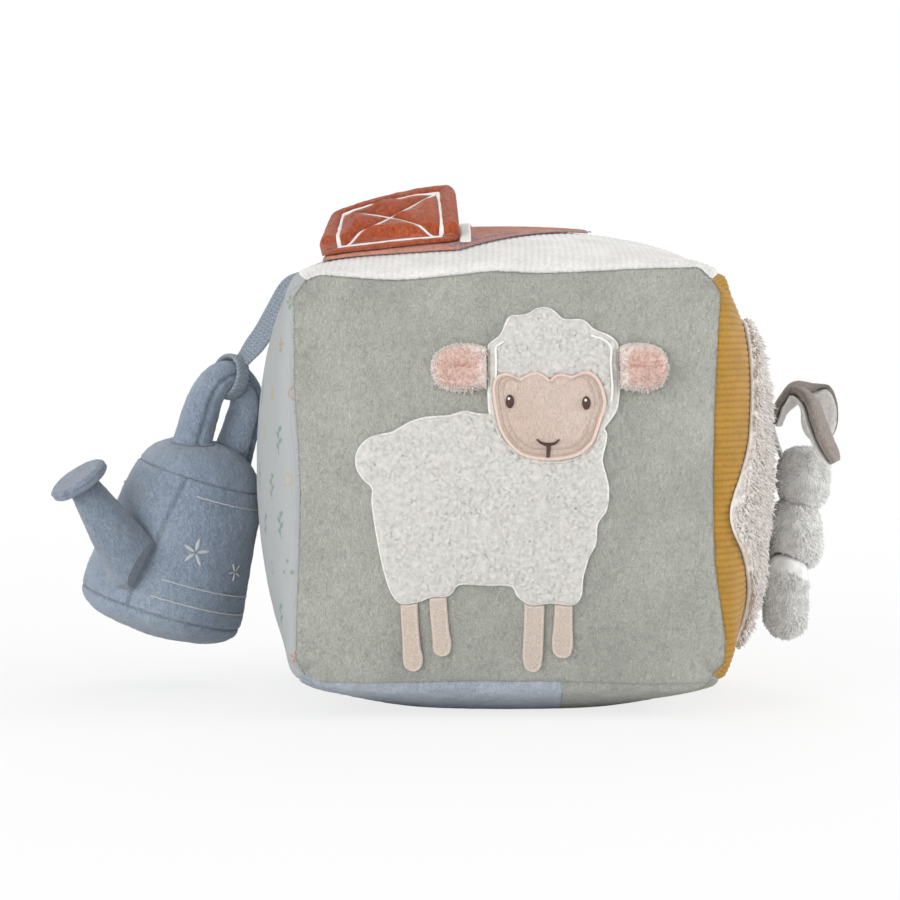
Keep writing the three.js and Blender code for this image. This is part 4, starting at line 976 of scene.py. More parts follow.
def raised_thread(place, u, v, level, over, wide, high, sides, closed=False):
    """Points and faces of a thread at level over places u, v; over is a level above it."""
    path = place(u, v, level)
    out = place(u, v, over) - path
    out, across = path_frames(path, out, closed)
    return tube_points(path, out, across, wide, high, sides), tube_faces(len(path), sides, closed=closed)


def stitches_on(bunch, place, route, length, gap, radius, lift=0.0):
    """Single running stitches along a route of (u, v) points."""
    line = resample(route, 0.25)
    step = np.linalg.norm(np.diff(line, axis=0), axis=1).mean()
    per, skip = max(int(length / step), 3), max(int(gap / step), 1)
    for first in range(0, len(line) - per, per + skip):
        part = line[first : first + per + 1]
        bow = np.sin(np.linspace(0, np.pi, len(part)))
        level, over = lift + radius * (0.2 + 0.8 * bow), np.full(len(part), lift + 2.0)
        slim = radius * (0.35 + 0.65 * bow**0.5)
        bunch.add(*raised_thread(place, part[:, 0], part[:, 1], level, over, slim, slim, 6))


def scatter_in(outline, per_area, seed):
    random = np.random.default_rng(seed)
    low, high = outline.min(0), outline.max(0)
    count = int((high - low).prod() * per_area)
    spots = low + random.uniform(0, 1, (count, 2)) * (high - low)
    return spots[inside(spots, outline)]


# Sheep

SHEEP_LENGTH = 87.7
SHEEP_AT = np.array([-9.8, -9.9])
BODY_SHARES = [
    (0.018, 0.381), (-0.064, 0.394), (-0.133, 0.376), (-0.216, 0.37), (-0.284, 0.349),
    (-0.354, 0.308), (-0.395, 0.298), (-0.45, 0.28), (-0.491, 0.232), (-0.498, 0.17),
    (-0.47, 0.115), (-0.436, 0.08), (-0.436, 0.012), (-0.416, -0.126), (-0.395, -0.236),
    (-0.367, -0.332), (-0.326, -0.381), (-0.257, -0.374), (-0.202, -0.354), (-0.133, -0.347),
    (-0.092, -0.305), (0.018, -0.308), (0.115, -0.312), (0.142, -0.354), (0.198, -0.388),
    (0.28, -0.381), (0.363, -0.388), (0.397, -0.354), (0.404, -0.278), (0.425, -0.195),
    (0.452, -0.14), (0.459, -0.058), (0.494, -0.002), (0.503, 0.08), (0.491, 0.14),
    (0.477, 0.2), (0.491, 0.272), (0.486, 0.32), (0.4, 0.36),
]
HEAD_SHARES = [
    (0.024, 0.604), (0.026, 0.65), (0.045, 0.668), (0.075, 0.689), (0.092, 0.718), (0.102, 0.741),
    (0.12, 0.757), (0.157, 0.76), (0.192, 0.767), (0.219, 0.782), (0.245, 0.788), (0.277, 0.784),
    (0.303, 0.768), (0.321, 0.751), (0.351, 0.746), (0.389, 0.748), (0.42, 0.739), (0.443, 0.718),
    (0.477, 0.703), (0.509, 0.692), (0.536, 0.671), (0.546, 0.646), (0.544, 0.592), (0.546, 0.494),
    (0.541, 0.436), (0.532, 0.399), (0.509, 0.362), (0.482, 0.327), (0.447, 0.264), (0.404, 0.222),
    (0.346, 0.19), (0.268, 0.183), (0.19, 0.19), (0.131, 0.218), (0.084, 0.268), (0.053, 0.319),
    (0.03, 0.378), (0.024, 0.444), (0.023, 0.522),
]
FACE_SHARES = [
    (0.049, 0.458), (0.049, 0.492), (0.057, 0.519), (0.075, 0.533), (0.1, 0.537), (0.125, 0.526),
    (0.147, 0.516), (0.166, 0.524), (0.19, 0.536), (0.217, 0.54), (0.236, 0.533), (0.256, 0.518),
    (0.27, 0.512), (0.285, 0.526), (0.31, 0.537), (0.334, 0.531), (0.357, 0.528), (0.381, 0.538),
    (0.412, 0.548), (0.439, 0.539), (0.46, 0.513), (0.472, 0.485), (0.481, 0.447), (0.482, 0.425),
    (0.474, 0.392), (0.46, 0.353), (0.446, 0.309), (0.433, 0.276), (0.41, 0.249), (0.378, 0.224),
    (0.328, 0.208), (0.273, 0.202), (0.217, 0.205), (0.179, 0.213), (0.151, 0.226), (0.125, 0.248),
    (0.097, 0.282), (0.075, 0.325), (0.063, 0.37), (0.055, 0.414),
]
LEG_SHARES = [(-0.29, -0.644), (-0.172, -0.588), (0.21, -0.644), (0.328, -0.596)]
# Each leg from its foot's middle: its left side from the top down, then up its right side
LEG_SHAPES = [
    [
        (-3.6, 25), (-3.3, 16), (-2.9, 9), (-2.9, 5), (-2.2, 1.4), (0.8, 0),
        (3.6, 1.2), (4.5, 4.4), (3.6, 8), (2.9, 16), (2.7, 25),
    ],
    [
        (-3.8, 22), (-3.5, 15), (-3.0, 9), (-2.6, 5), (-2.3, 1.6), (0.2, 0),
        (3.4, 0.9), (4.2, 4.2), (3.4, 8.5), (2.8, 15), (2.4, 22),
    ],
    [
        (-3.6, 25), (-3.7, 16), (-3.9, 9), (-4.0, 4.6), (-3.0, 1.2), (-0.4, 0),
        (2.3, 0.9), (3.3, 4.4), (3.5, 9), (3.6, 16), (3.8, 25),
    ],
    [
        (-3.0, 22), (-3.2, 15), (-3.6, 9), (-3.9, 5), (-3.2, 1.6), (-0.6, 0.1),
        (2.6, 0.8), (3.7, 4.2), (3.5, 9), (3.3, 15), (3.2, 22),
    ],
]
EYE_SHARES = [(0.11, 0.43), (0.408, 0.427)]
NOSE_SHARE = (0.259, 0.246)
EAR_ROOT_SHARES = [(0.018, 0.566), (0.549, 0.57)]
FLEECE_TOP = SEWN_GAP + 3.1
FACE_LOW = FLEECE_TOP - 1.0
FACE_HIGH = FACE_LOW + 1.6


def on_sheep(shares):
    return np.asarray(shares, float) * SHEEP_LENGTH + SHEEP_AT


def closed_curve(shares):
    return catmull(on_sheep(shares), 8, closed=True)


body_outline = closed_curve(BODY_SHARES)
head_outline = closed_curve(HEAD_SHARES)
face_outline = closed_curve(FACE_SHARES)
face_middle = face_outline.mean(0)
EAR_LEVEL = on_sheep([EAR_ROOT_SHARES[0]])[0][1]


def grow(outline, distance):
    """The outline moved out by distance, from an even spacing of its points."""
    outline = resample(outline, 0.6, True)
    if signed_area(outline) < 0:
        outline = outline[::-1]
    along = unit(np.roll(outline, -2, 0) - np.roll(outline, 2, 0))
    return outline + np.stack([along[:, 1], -along[:, 0]], -1) * distance


def curl_height(points):
    """Curly fleece from 0 to 1: worm-like ridges broken into clumps."""
    flat = with_zero(points)
    warp = np.stack([noise(flat, 3.4, 41), noise(flat, 3.4, 42), 0 * flat[:, 0]], -1) * 2.4
    ridge = 1 - np.abs(noise(flat + warp, 2.3, 43)) * 2.1
    clump = noise(flat + warp * 0.5, 3.6, 44)
    fine = noise(flat + warp, 0.9, 45)
    return np.clip(0.48 + 0.42 * ridge * 0.8 + 0.22 * clump + 0.14 * fine, 0, 1.25) / 1.25


def curls(bunch, outline, whole, seed, spacing, keep_out):
    """Small open loops of yarn all over an outline on the front, up to the whole fleece's border."""
    random = np.random.default_rng(seed)
    low, high = outline.min(0), outline.max(0)
    columns, rows = (np.arange(low[k], high[k], spacing) for k in (0, 1))
    x, y = np.meshgrid(columns, rows, indexing="ij")
    spots = np.stack([x.ravel(), y.ravel()], -1)
    spots = spots + random.uniform(-0.55, 0.55, spots.shape) * spacing
    spots = spots[inside(spots, outline)]
    edge = outline_distance(spots, whole)
    kept = (edge > 2.1) & ~inside(spots, keep_out) & (outline_distance(spots, keep_out) > 0.7)
    spots, edge = spots[kept], edge[kept]
    count, rings, sides = len(spots), 9, 5
    turn0 = random.uniform(0, 2 * np.pi, (count, 1))
    sweep = random.uniform(1.6, 3.8, (count, 1))
    share = np.linspace(0, 1, rings)[None]
    turn = turn0 + sweep * share
    size = random.uniform(0.8, 1.5, (count, 1)) * (1 - 0.25 * share)
    tilt = random.uniform(-0.75, 0.75, (count, 2))
    ring_x, ring_y = size * np.cos(turn), size * np.sin(turn)
    leaning = tilt[:, :1] * ring_x + tilt[:, 1:] * ring_y
    rise = -0.3 + 0.35 * random.uniform(0, 1, (count, 1)) + 0.35 * leaning
    ground = fleece_level(edge)[:, None]
    u, v = spots[:, :1] + ring_x, spots[:, 1:] + ring_y
    path = FRONT.lift(u, v, ground + rise)
    way = unit(np.gradient(path, axis=1))
    out = unit(np.broadcast_to(-Y, way.shape) - (way @ -Y)[..., None] * way)
    across = np.cross(way, out)
    thick = 1.05 * random.uniform(0.75, 1.25, (count, 1)) * np.sqrt(np.sin(np.pi * (0.06 + 0.88 * share)))
    angle = turns(sides)
    round_way = across[:, :, None] * np.cos(angle)[:, None] + out[:, :, None] * np.sin(angle)[:, None]
    tube = path[:, :, None] + thick[..., None, None] * round_way
    normals = unit(round_way * 0.42 - Y * 0.75)
    base = (np.arange(count) * rings * sides)[:, None, None]
    faces = (base + grid_faces(rings, sides, wrap=True)[None]).reshape(-1, 4)
    caps = [np.arange(sides)[::-1], (rings - 1) * sides + np.arange(sides)]
    ends = np.concatenate([base[:, 0] + cap for cap in caps])
    # Painted shade: each curl darker on its underside, where it turns towards the cloth, than on its top.
    shade = 0.8 + 0.2 * np.sin(angle)[None, None] * np.ones((count, rings, 1))
    shade = shade * random.uniform(0.85, 1.0, (count, 1, 1))
    bunch.add(tube, [faces, ends], shade, normals)


def fleece_level(distance):
    return SEWN_GAP + 0.5 + 1.7 * rounded(distance, 1.8)


def fleece_height(whole, face=None):
    def height(points, distance):
        curl = curl_height(points)
        edge = rounded(outline_distance(points, whole), 2.2)
        level = fleece_level(outline_distance(points, whole)) + edge * 0.7 * curl
        # Darker where the curly relief is low: painted shade in its hollows.
        pile = 0.6 + 0.3 * curl
        if face is not None:
            sink = np.where(inside(points, face), 1.0, 1 - smooth(outline_distance(points, face), 0.0, 0.5))
            level = level * (1 - sink) + (FACE_LOW - SEAT_GAP - 0.2) * sink
        return level, pile

    return height


def run_outside(outline, other, step=0.5):
    """The part of a closed outline that lies outside another."""
    ring = resample(outline, step, True)
    within = inside(ring, other)
    start = int(np.argmax(within & ~np.roll(within, -1)))
    return np.roll(ring, -start - 1, 0)[~np.roll(within, -start - 1)]


def cut_away(outline, hole):
    """The outline without what lies inside hole, in one piece."""
    run = run_outside(outline, hole)
    clear = np.flatnonzero(outline_distance(run, hole) > 1.2)
    run = run[clear[0] : clear[-1] + 1]
    edge = resample(hole, 0.5, True)
    a = int(np.argmin(np.linalg.norm(edge - run[-1], axis=1)))
    b = int(np.argmin(np.linalg.norm(edge - run[0], axis=1)))
    count = len(edge)
    forward = [edge[(a + k) % count] for k in range((b - a) % count + 1)]
    backward = [edge[(a - k) % count] for k in range((a - b) % count + 1)]
    middle = run.mean(0)
    pick = min((forward, backward), key=lambda part: np.linalg.norm(np.mean(part, 0) - middle))
    return np.concatenate([run, pick])


def joined(first, second):
    """The outline round two overlapping outlines."""
    a, b = run_outside(first, second), run_outside(second, first)
    if np.linalg.norm(a[-1] - b[-1]) < np.linalg.norm(a[-1] - b[0]):
        b = b[::-1]
    ring = resample(np.concatenate([a, b]), 1.6, True)
    return catmull(ring, 4, closed=True)


def drawn_in(outline, sides, top):
    """A line inside an outline: sides and top say how far from it."""
    middle = outline.mean(0)
    away = outline - middle
    reach = np.linalg.norm(away, axis=1)
    upward = smooth(away[:, 1] / reach, 0.35, 0.8)
    return middle + away * (1 - (sides + (top - sides) * upward) / reach)[:, None]


def add_sheep():
    whole = joined(body_outline, head_outline)
    torso = cut_away(body_outline, grow(head_outline, 0.12))
    face_room = grow(face_outline, 0.3)
    fleeces = [
        ("body", torso, fleece_height(whole)), ("head", head_outline, fleece_height(whole, face_room)),
    ]
    for i, (part, outline, height) in enumerate(fleeces):
        bunch = Bunch()
        bunch.add(*sewn(FRONT, outline, SEWN_GAP, height, 0.6))
        curls(bunch, outline, whole, 40 + i, 1.7, face_room)
        nodes = ["sheep_%s_fleece" % part]
        piece = bunch.finish("sheep_fleece_" + part, FLEECE, "cube", nodes)

    def face_height(points, distance):
        flat = with_zero(points)
        crease_x = face_middle[0] + 1.2
        crease_end = smooth(points[:, 1], face_middle[1] + 3, face_middle[1] + 9)
        crease = 0.3 * bell(points[:, 0] - crease_x, 0.6) * crease_end
        grain = noise(flat, 0.9, 46)
        level = face_surface(points) - 0.7 * (1 - rounded(distance, 1.6)) - crease + 0.05 * grain
        # The crease is darkened as painted shade.
        return level, np.clip(0.9 + 0.15 * grain - crease, 0, 1)

    points, faces, pile = sewn(FRONT, face_outline, FACE_LOW, face_height, 0.45)
    face = add_mesh(
        "sheep_face_velour", points, faces, FACE, "cube", pile=pile, nodes=["sheep_face"]
    )

    border = Bunch()
    border.add(*cord_on(FRONT, grow(whole, -0.7), SEWN_GAP + 0.7, 1.9, 1.1))
    inner = drawn_in(head_outline, 2.9, 2.9)
    for side in (-1, 1):
        part = inner[(side * (inner[:, 0] - face_middle[0]) > 15) & (np.abs(inner[:, 1] - EAR_LEVEL) < 12)]
        part = part[np.argsort(part[:, 1])]
        border.add(*cord_on(FRONT, part, fleece_level(np.full(1, 9.0))[0] + 0.9, 0.9, 0.6, closed=False))
    border.finish("sheep_border_stitch", WHITE_THREAD, "cube")

    rim = Bunch()
    rim.add(*cord_on(FRONT, grow(face_outline, -0.1), FACE_HIGH - 0.5, 1.5, 0.8))
    rim.finish("sheep_face_border", PEACH_THREAD, "cube")
    line = Bunch()
    for sides, top in ((1.3, 1.4), (3.3, 2.4)):
        line.add(*cord_on(FRONT, drawn_in(face_outline, sides, top), FACE_HIGH + 0.3, 0.34, 0.26))
    line.finish("sheep_face_line", GREY_THREAD, "cube")


def face_surface(points):
    """Height of the face cloth away from its edge."""
    away = np.hypot((points[:, 0] - face_middle[0]) / 20, (points[:, 1] - face_middle[1]) / 17)
    return FACE_HIGH + 0.9 * np.clip(1 - away**2, 0, 1)


def add_face_features():
    for share, side in zip(EYE_SHARES, ("left", "right")):
        middle = on_sheep([share])[0]
        turn = turns(40)
        outline = middle + np.stack([1.45 * np.cos(turn), 2.35 * np.sin(turn)], -1)

        def dome(points, distance):
            stitch = 0.05 * np.sin(points[:, 0] * 2 * np.pi / 0.4)
            return face_surface(points) + 0.35 + 0.75 * rounded(distance, 1.6) + stitch, 1.0

        points, faces, _ = sewn(FRONT, outline, FACE_HIGH + SEAT_GAP + 0.3, dome, 0.14, under=0.8)
        add_mesh(
            "sheep_eye_stitch_" + side, points, faces, BROWN_THREAD, "cube",
            nodes=["sheep_eye_" + side],
        )
        shine = middle + np.array([-0.35, 0.95]) + np.stack([0.42 * np.cos(turn), 0.5 * np.sin(turn)], -1)

        def shine_height(points, distance):
            return face_surface(points) + 1.1 + 0.3 * rounded(distance, 0.4), 1.0

        points, faces, _ = sewn(FRONT, shine, FACE_HIGH + 1.9, shine_height, 0.12, under=0.4)
        add_mesh("sheep_eye_shine_" + side, points, faces, WHITE_THREAD, "cube")

    tip = on_sheep([NOSE_SHARE])[0]
    nose = Bunch()
    strokes = [
        ([(-3.9, 3.0), (-2.6, 1.9), (-1.2, 1.35), (0.0, 1.2)], [0.25, 0.42, 0.55, 0.65]),
        ([(3.7, 3.0), (2.5, 1.8), (1.2, 1.35), (0.0, 1.2)], [0.25, 0.42, 0.55, 0.65]),
        ([(0.0, 1.5), (0.1, 0.0), (0.0, -1.8), (-0.1, -3.2)], [0.85, 0.75, 0.65, 0.6]),
    ]
    for route, widths in strokes:
        line = resample(catmull(route, 8), 0.2) + tip
        wide = np.interp(np.linspace(0, 1, len(line)), np.linspace(0, 1, 4), widths)
        level = face_surface(line) + 0.45
        wave = 1 + 0.08 * np.cos(np.arange(len(line)) * np.pi)
        u, v = line.T
        nose.add(*raised_thread(FRONT.lift, u, v, level, level + 1, wide * wave, 0.45 * wave, 8))
    nose.finish("sheep_nose_stitch", BROWN_THREAD, "cube", ["sheep_nose"])


def add_legs():
    for i, (share, shape) in enumerate(zip(LEG_SHARES, LEG_SHAPES)):
        foot = on_sheep([share])[0]
        curve = foot + catmull(shape, 6)
        under = curve[~inside(curve, body_outline) & (outline_distance(curve, body_outline) > 0.3)]
        lower = resample(body_outline, 0.3, True)
        over_leg = (lower[:, 0] < under[-1, 0]) & (lower[:, 0] > under[0, 0])
        near = lower[over_leg & (lower[:, 1] < SHEEP_AT[1] - 15)]
        crown = near[np.argsort(-near[:, 0])] - np.array([0, 0.3])
        outline = np.concatenate([under, crown])

        def height(points, distance):
            shifted = np.floor((points[:, 0] - foot[0]) / 1.1) * np.pi
            rows = 0.06 * np.cos(points[:, 1] * 2 * np.pi / 0.7 + shifted)
            edge = rounded(distance, 0.9)
            ridge = 0.25 * bell(distance - 0.6, 0.35)
            level = SEWN_GAP + 0.25 + 0.8 * edge + rows * edge + ridge
            # Colour follows the stitch rows' relief: painted shade between rows and a painted highlight along
            # the raised ridge near the edge.
            return level, np.clip(0.6 + 4 * rows + 1.4 * ridge, 0, 1)

        points, faces, pile = sewn(FRONT, outline, SEWN_GAP, height, 0.22, under=2.0)
        add_mesh(
            "sheep_leg_stitch_%d" % (i + 1), points, faces, LEG_LOOK, "cube", pile=pile,
            nodes=["sheep_leg_%d" % (i + 1)],
        )


EAR_LENGTHS, EAR_HEIGHT = (19.6, 17.4), 16.4
EAR_SIDES = [(0.2, -0.47), (0.55, -0.5), (0.85, -0.38), (1, 0), (0.88, 0.36), (0.6, 0.49), (0.2, 0.5)]


def ear_outline(root, direction, length, height):
    shares = [(0, -0.43)] + EAR_SIDES + [(0, 0.43)]
    curve = catmull(shares, 8, centripetal=True)
    return np.stack([root[0] + direction * curve[:, 0] * length, root[1] + curve[:, 1] * height], -1)


def add_sheep_ears():
    for i, side in enumerate(("left", "right")):
        direction, length = (-1, 1)[i], EAR_LENGTHS[i]
        root = on_sheep([EAR_ROOT_SHARES[i]])[0] - np.array([direction * 0.1, 0])
        middle = root + np.array([direction * length / 2, 0])
        low = SEWN_GAP + 2.4 + SEAT_GAP

        def back_height(points, distance):
            return SEWN_GAP + 0.7 + 2.2 * rounded(distance, 2.4), 0.8

        def front_height(points, distance):
            flat = with_zero(points)
            across = (points[:, 0] - middle[0]) / (length / 2)
            along = (points[:, 1] - middle[1]) / (EAR_HEIGHT / 2)
            rise = np.clip(1 - across**2, 0, 1) * np.clip(1 - along**2, 0, 1)
            crease_x = middle[0] - direction * (1.5 + 1.2 * i)
            fold = bell(points[:, 1] - middle[1] - 0.4, 0.75) * bell(points[:, 0] - crease_x, 3.2)
            level = low + 0.35 + rounded(distance, 2.0) * (0.9 + 2.4 * np.sqrt(rise))
            level = level + noise(flat, 2.0, 52) * 0.12 - 0.8 * fold
            # The pink middle and cream rim are the ear's own colours; the darkening along the fold is painted
            # shade.
            tone = 0.98 - 0.5 * smooth(rise, 0.15, 0.65) - 0.4 * fold
            return level, tone

        for part, size, height, base, look in (
            ("back", (1.0, 1.0), back_height, SEWN_GAP, EAR_WHITE),
            ("inner", (0.94, 0.9), front_height, low, EAR_PINK),
        ):
            outline = ear_outline(root, direction, length * size[0], EAR_HEIGHT * size[1])
            bunch = Bunch()
            bunch.add(*sewn(FRONT, outline, base, height, 0.5))
            spots = scatter_in(outline, 2.6, 53 + i)
            distance = outline_distance(spots, outline)
            away = unit(spots - middle) * (1 - smooth(distance, 0.2, 2.6))[:, None]
            level, tone = height(spots, distance)
            roots = FRONT.lift(spots[:, 0], spots[:, 1], level - 0.2)
            aside = np.stack([away[:, 0], 0 * away[:, 0], away[:, 1]], -1)
            outs = unit(FRONT.normal(spots[:, 0], spots[:, 1]) + aside * 1.3)
            bunch.add(*tufts(roots, outs, np.full(len(roots), 0.8), 0.33, 55 + i, 0.3, tone))
            name, body = "sheep_ear_%s_plush_%s" % (part, side), "sheep_ear_" + side
            piece = bunch.finish(name, look, body, ["sheep_ear_%s_%s" % (side, part)])


add_sheep()
add_face_features()
add_legs()
add_sheep_ears()

# Barn on the top

BARN_X, BARN_LENGTH, BARN_DEPTH = -66.0, 97.0, 116.0
EAVE = 0.505
BARN_TOP = SEWN_GAP + 1.3
DOOR_W, DOOR_D, DOOR_X, DOOR_FRONT = 48.5, 30.0, -41.7, -46.0
DOOR_Y = DOOR_FRONT + DOOR_D / 2


def straight_outline(corners, step=1.0):
    return resample(np.asarray(corners, float), step, True)


def round_rectangle(x, y, width, height, radius):
    corners = []
    for cx, cy, start in ((1, -1, -90), (1, 1, 0), (-1, 1, 90), (-1, -1, 180)):
        for angle in np.radians(np.linspace(start, start + 90, 9)):
            corners.append((
                x + cx * (width / 2 - radius) + radius * np.cos(angle),
                y + cy * (height / 2 - radius) + radius * np.sin(angle),
            ))
    return np.array(corners)


def add_barn():
    corners = [
        (BARN_X, -BARN_DEPTH / 2), (BARN_X + EAVE * BARN_LENGTH, -BARN_DEPTH / 2), (BARN_X + BARN_LENGTH, 0),
        (BARN_X + EAVE * BARN_LENGTH, BARN_DEPTH / 2), (BARN_X, BARN_DEPTH / 2),
    ]
    outline = straight_outline(corners)

    def height(points, distance):
        flat = with_zero(points)
        grain = noise(flat, 1.2, 60)
        level = SEWN_GAP + 0.35 + 0.95 * rounded(distance, 1.4) + 0.06 * grain
        return level, np.clip(0.8 + 0.3 * grain, 0, 1)

    points, faces, pile = sewn(TOP, outline, SEWN_GAP, height, 0.9)
    cloth = add_mesh(
        "barn_cloth", points, faces, BARN, "cube", pile=pile, nodes=["barn_applique"]
    )

    bar_x = BARN_X + EAVE * BARN_LENGTH + 2
    outline = resample(round_rectangle(bar_x, 0, 4, BARN_DEPTH - 8, 1), 0.8, True)

    def bar_height(points, distance):
        weave_wave = 0.05 * np.cos(points[:, 1] * 2 * np.pi / 0.9)
        return BARN_TOP + SEWN_GAP + 0.3 + 0.6 * rounded(distance, 0.9) + weave_wave, 1.0

    points, faces, _ = sewn(TOP, outline, BARN_TOP + SEWN_GAP, bar_height, 0.45)
    add_mesh(
        "barn_white_band", points, faces, WHITE_COTTON, "cube", nodes=["barn_white_bar"]
    )

    stitching = Bunch()
    for side in (-1, 1):
        start = np.array([BARN_X + EAVE * BARN_LENGTH - 2, side * (BARN_DEPTH / 2 + 0.6)])
        end = np.array([BARN_X + BARN_LENGTH + 0.8, 0])
        way = unit(end - start)
        away = np.array([way[1], -way[0]]) * (1 if side < 0 else -1)
        for offset, reach in ((1.2, 1.0), (-0.7, 0.45), (-2.2, 0.2)):
            t = np.linspace(0, reach, 60)[:, None]
            route = start + (end - start) * t + away * (offset + 0.25 * np.sin(t * 41 + offset))
            stitches_on(stitching, TOP.lift, route, 1.8, 0.9, 0.26, 0.9 if offset > 0 else BARN_TOP + 0.1)
    stitching.finish("barn_roof_stitches", BLUE_THREAD, "cube")


add_barn()

# Padded door, which stands a little open

door_sides = np.array([DOOR_X - DOOR_W / 2, DOOR_X + DOOR_W / 2])
hinge_ends, _ = TOP.flat_lift(door_sides, np.full(2, DOOR_FRONT), np.zeros(2))
HINGE = hinge_ends.mean(0) + np.array([0, 0, 3.4])
HINGE_AXIS = unit(hinge_ends[1] - hinge_ends[0])
REST_ANGLE = math.radians(24)


def turned_about(points, centre, axis, angle):
    p = points - centre
    cos, sin = np.cos(angle), np.sin(angle)
    along = (p @ axis)[..., None] * axis
    return centre + along + (p - along) * cos + np.cross(np.broadcast_to(axis, p.shape), p) * sin


def door_place(u, v, level):
    """A point of the door in its rest pose, from where it lies when shut.

    The cloth's slack shortens the door towards its left.
    """
    slack = np.clip(0.5 - (u - DOOR_X) / DOOR_W, 0, 1)
    share = np.clip((v - DOOR_FRONT) / DOOR_D, 0, 1)
    v = DOOR_FRONT + (v - DOOR_FRONT) * (0.93 - 0.33 * slack**1.5)
    local, _ = TOP.flat_lift(u + 4.5 * share * slack**2, v, level)
    turned = turned_about(local, HINGE, HINGE_AXIS, REST_ANGLE)
    return TOP.world(turned)


def front_place(u, v, level):
    """The door's front cloth, which lies down on the barn before the hinge."""
    lifted = door_place(u, v, level)
    slack = np.clip(0.5 - (u - DOOR_X) / DOOR_W, 0, 1)
    sill = np.minimum(v - DOOR_FRONT, 0) * (0.62 + 0.38 * np.minimum(1.6 * slack, 1))
    along = DOOR_FRONT + np.maximum(v - DOOR_FRONT, 0) + sill - 2.0 * slack
    laid = TOP.lift(u, along, BARN_TOP + SEWN_GAP + (level - FRONT_LOW) * 0.75)
    share = smooth(v, DOOR_FRONT - 4.5, DOOR_FRONT + 0.5)[..., None]
    return laid + (lifted - laid) * share


def hinged(piece):
    """Bakes the piece's placement into its points."""
    at = TOP.world(HINGE)
    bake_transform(piece)


BACK_LOW = BARN_TOP + SEWN_GAP
FILM_LOW = BACK_LOW + 2.5 + SEWN_GAP
FRONT_LOW = FILM_LOW + 0.4 + SEWN_GAP
PIPE_IN = 6.3
SILL = 9.5  # how far the door's front cloth reaches over the barn, before the hinge
PIPE_LOW, PIPE_HIGH = 3.2 - SILL, 24.0  # the piping's near and far lines, from the hinge
PIPE_Y, PIPE_HALF = DOOR_FRONT + (PIPE_LOW + PIPE_HIGH) / 2, (PIPE_HIGH - PIPE_LOW) / 2


def door_quilt(points):
    """Height of the door's front over its lower face, with puffs between the stitched lines."""
    x, y = points[:, 0] - DOOR_X, points[:, 1] - PIPE_Y
    half_w = DOOR_W / 2
    edge = np.minimum(half_w - np.abs(x), DOOR_FRONT + DOOR_D - points[:, 1])
    from_pipe = np.minimum(half_w - PIPE_IN - np.abs(x), PIPE_HALF - np.abs(y))
    border = 1.3 + 1.9 * np.sqrt(np.clip(1 - ((edge - PIPE_IN / 2) / (PIPE_IN / 2 + 0.1)) ** 2, 0, 1))
    border = np.where(y < -PIPE_HALF, 2.2, border)
    cross = np.abs(x / (half_w - PIPE_IN)) - np.abs(y / PIPE_HALF)
    wave = 1 + 0.25 * np.sin(x * 0.45 + y * 0.2)
    swell = np.clip(from_pipe / 4.5, 0, 1) ** 0.6
    puff = 1.4 + 3.0 * wave * swell * np.clip(np.abs(cross) * 2.2, 0, 1) ** 0.55
    return np.where(from_pipe > 0, puff, border)


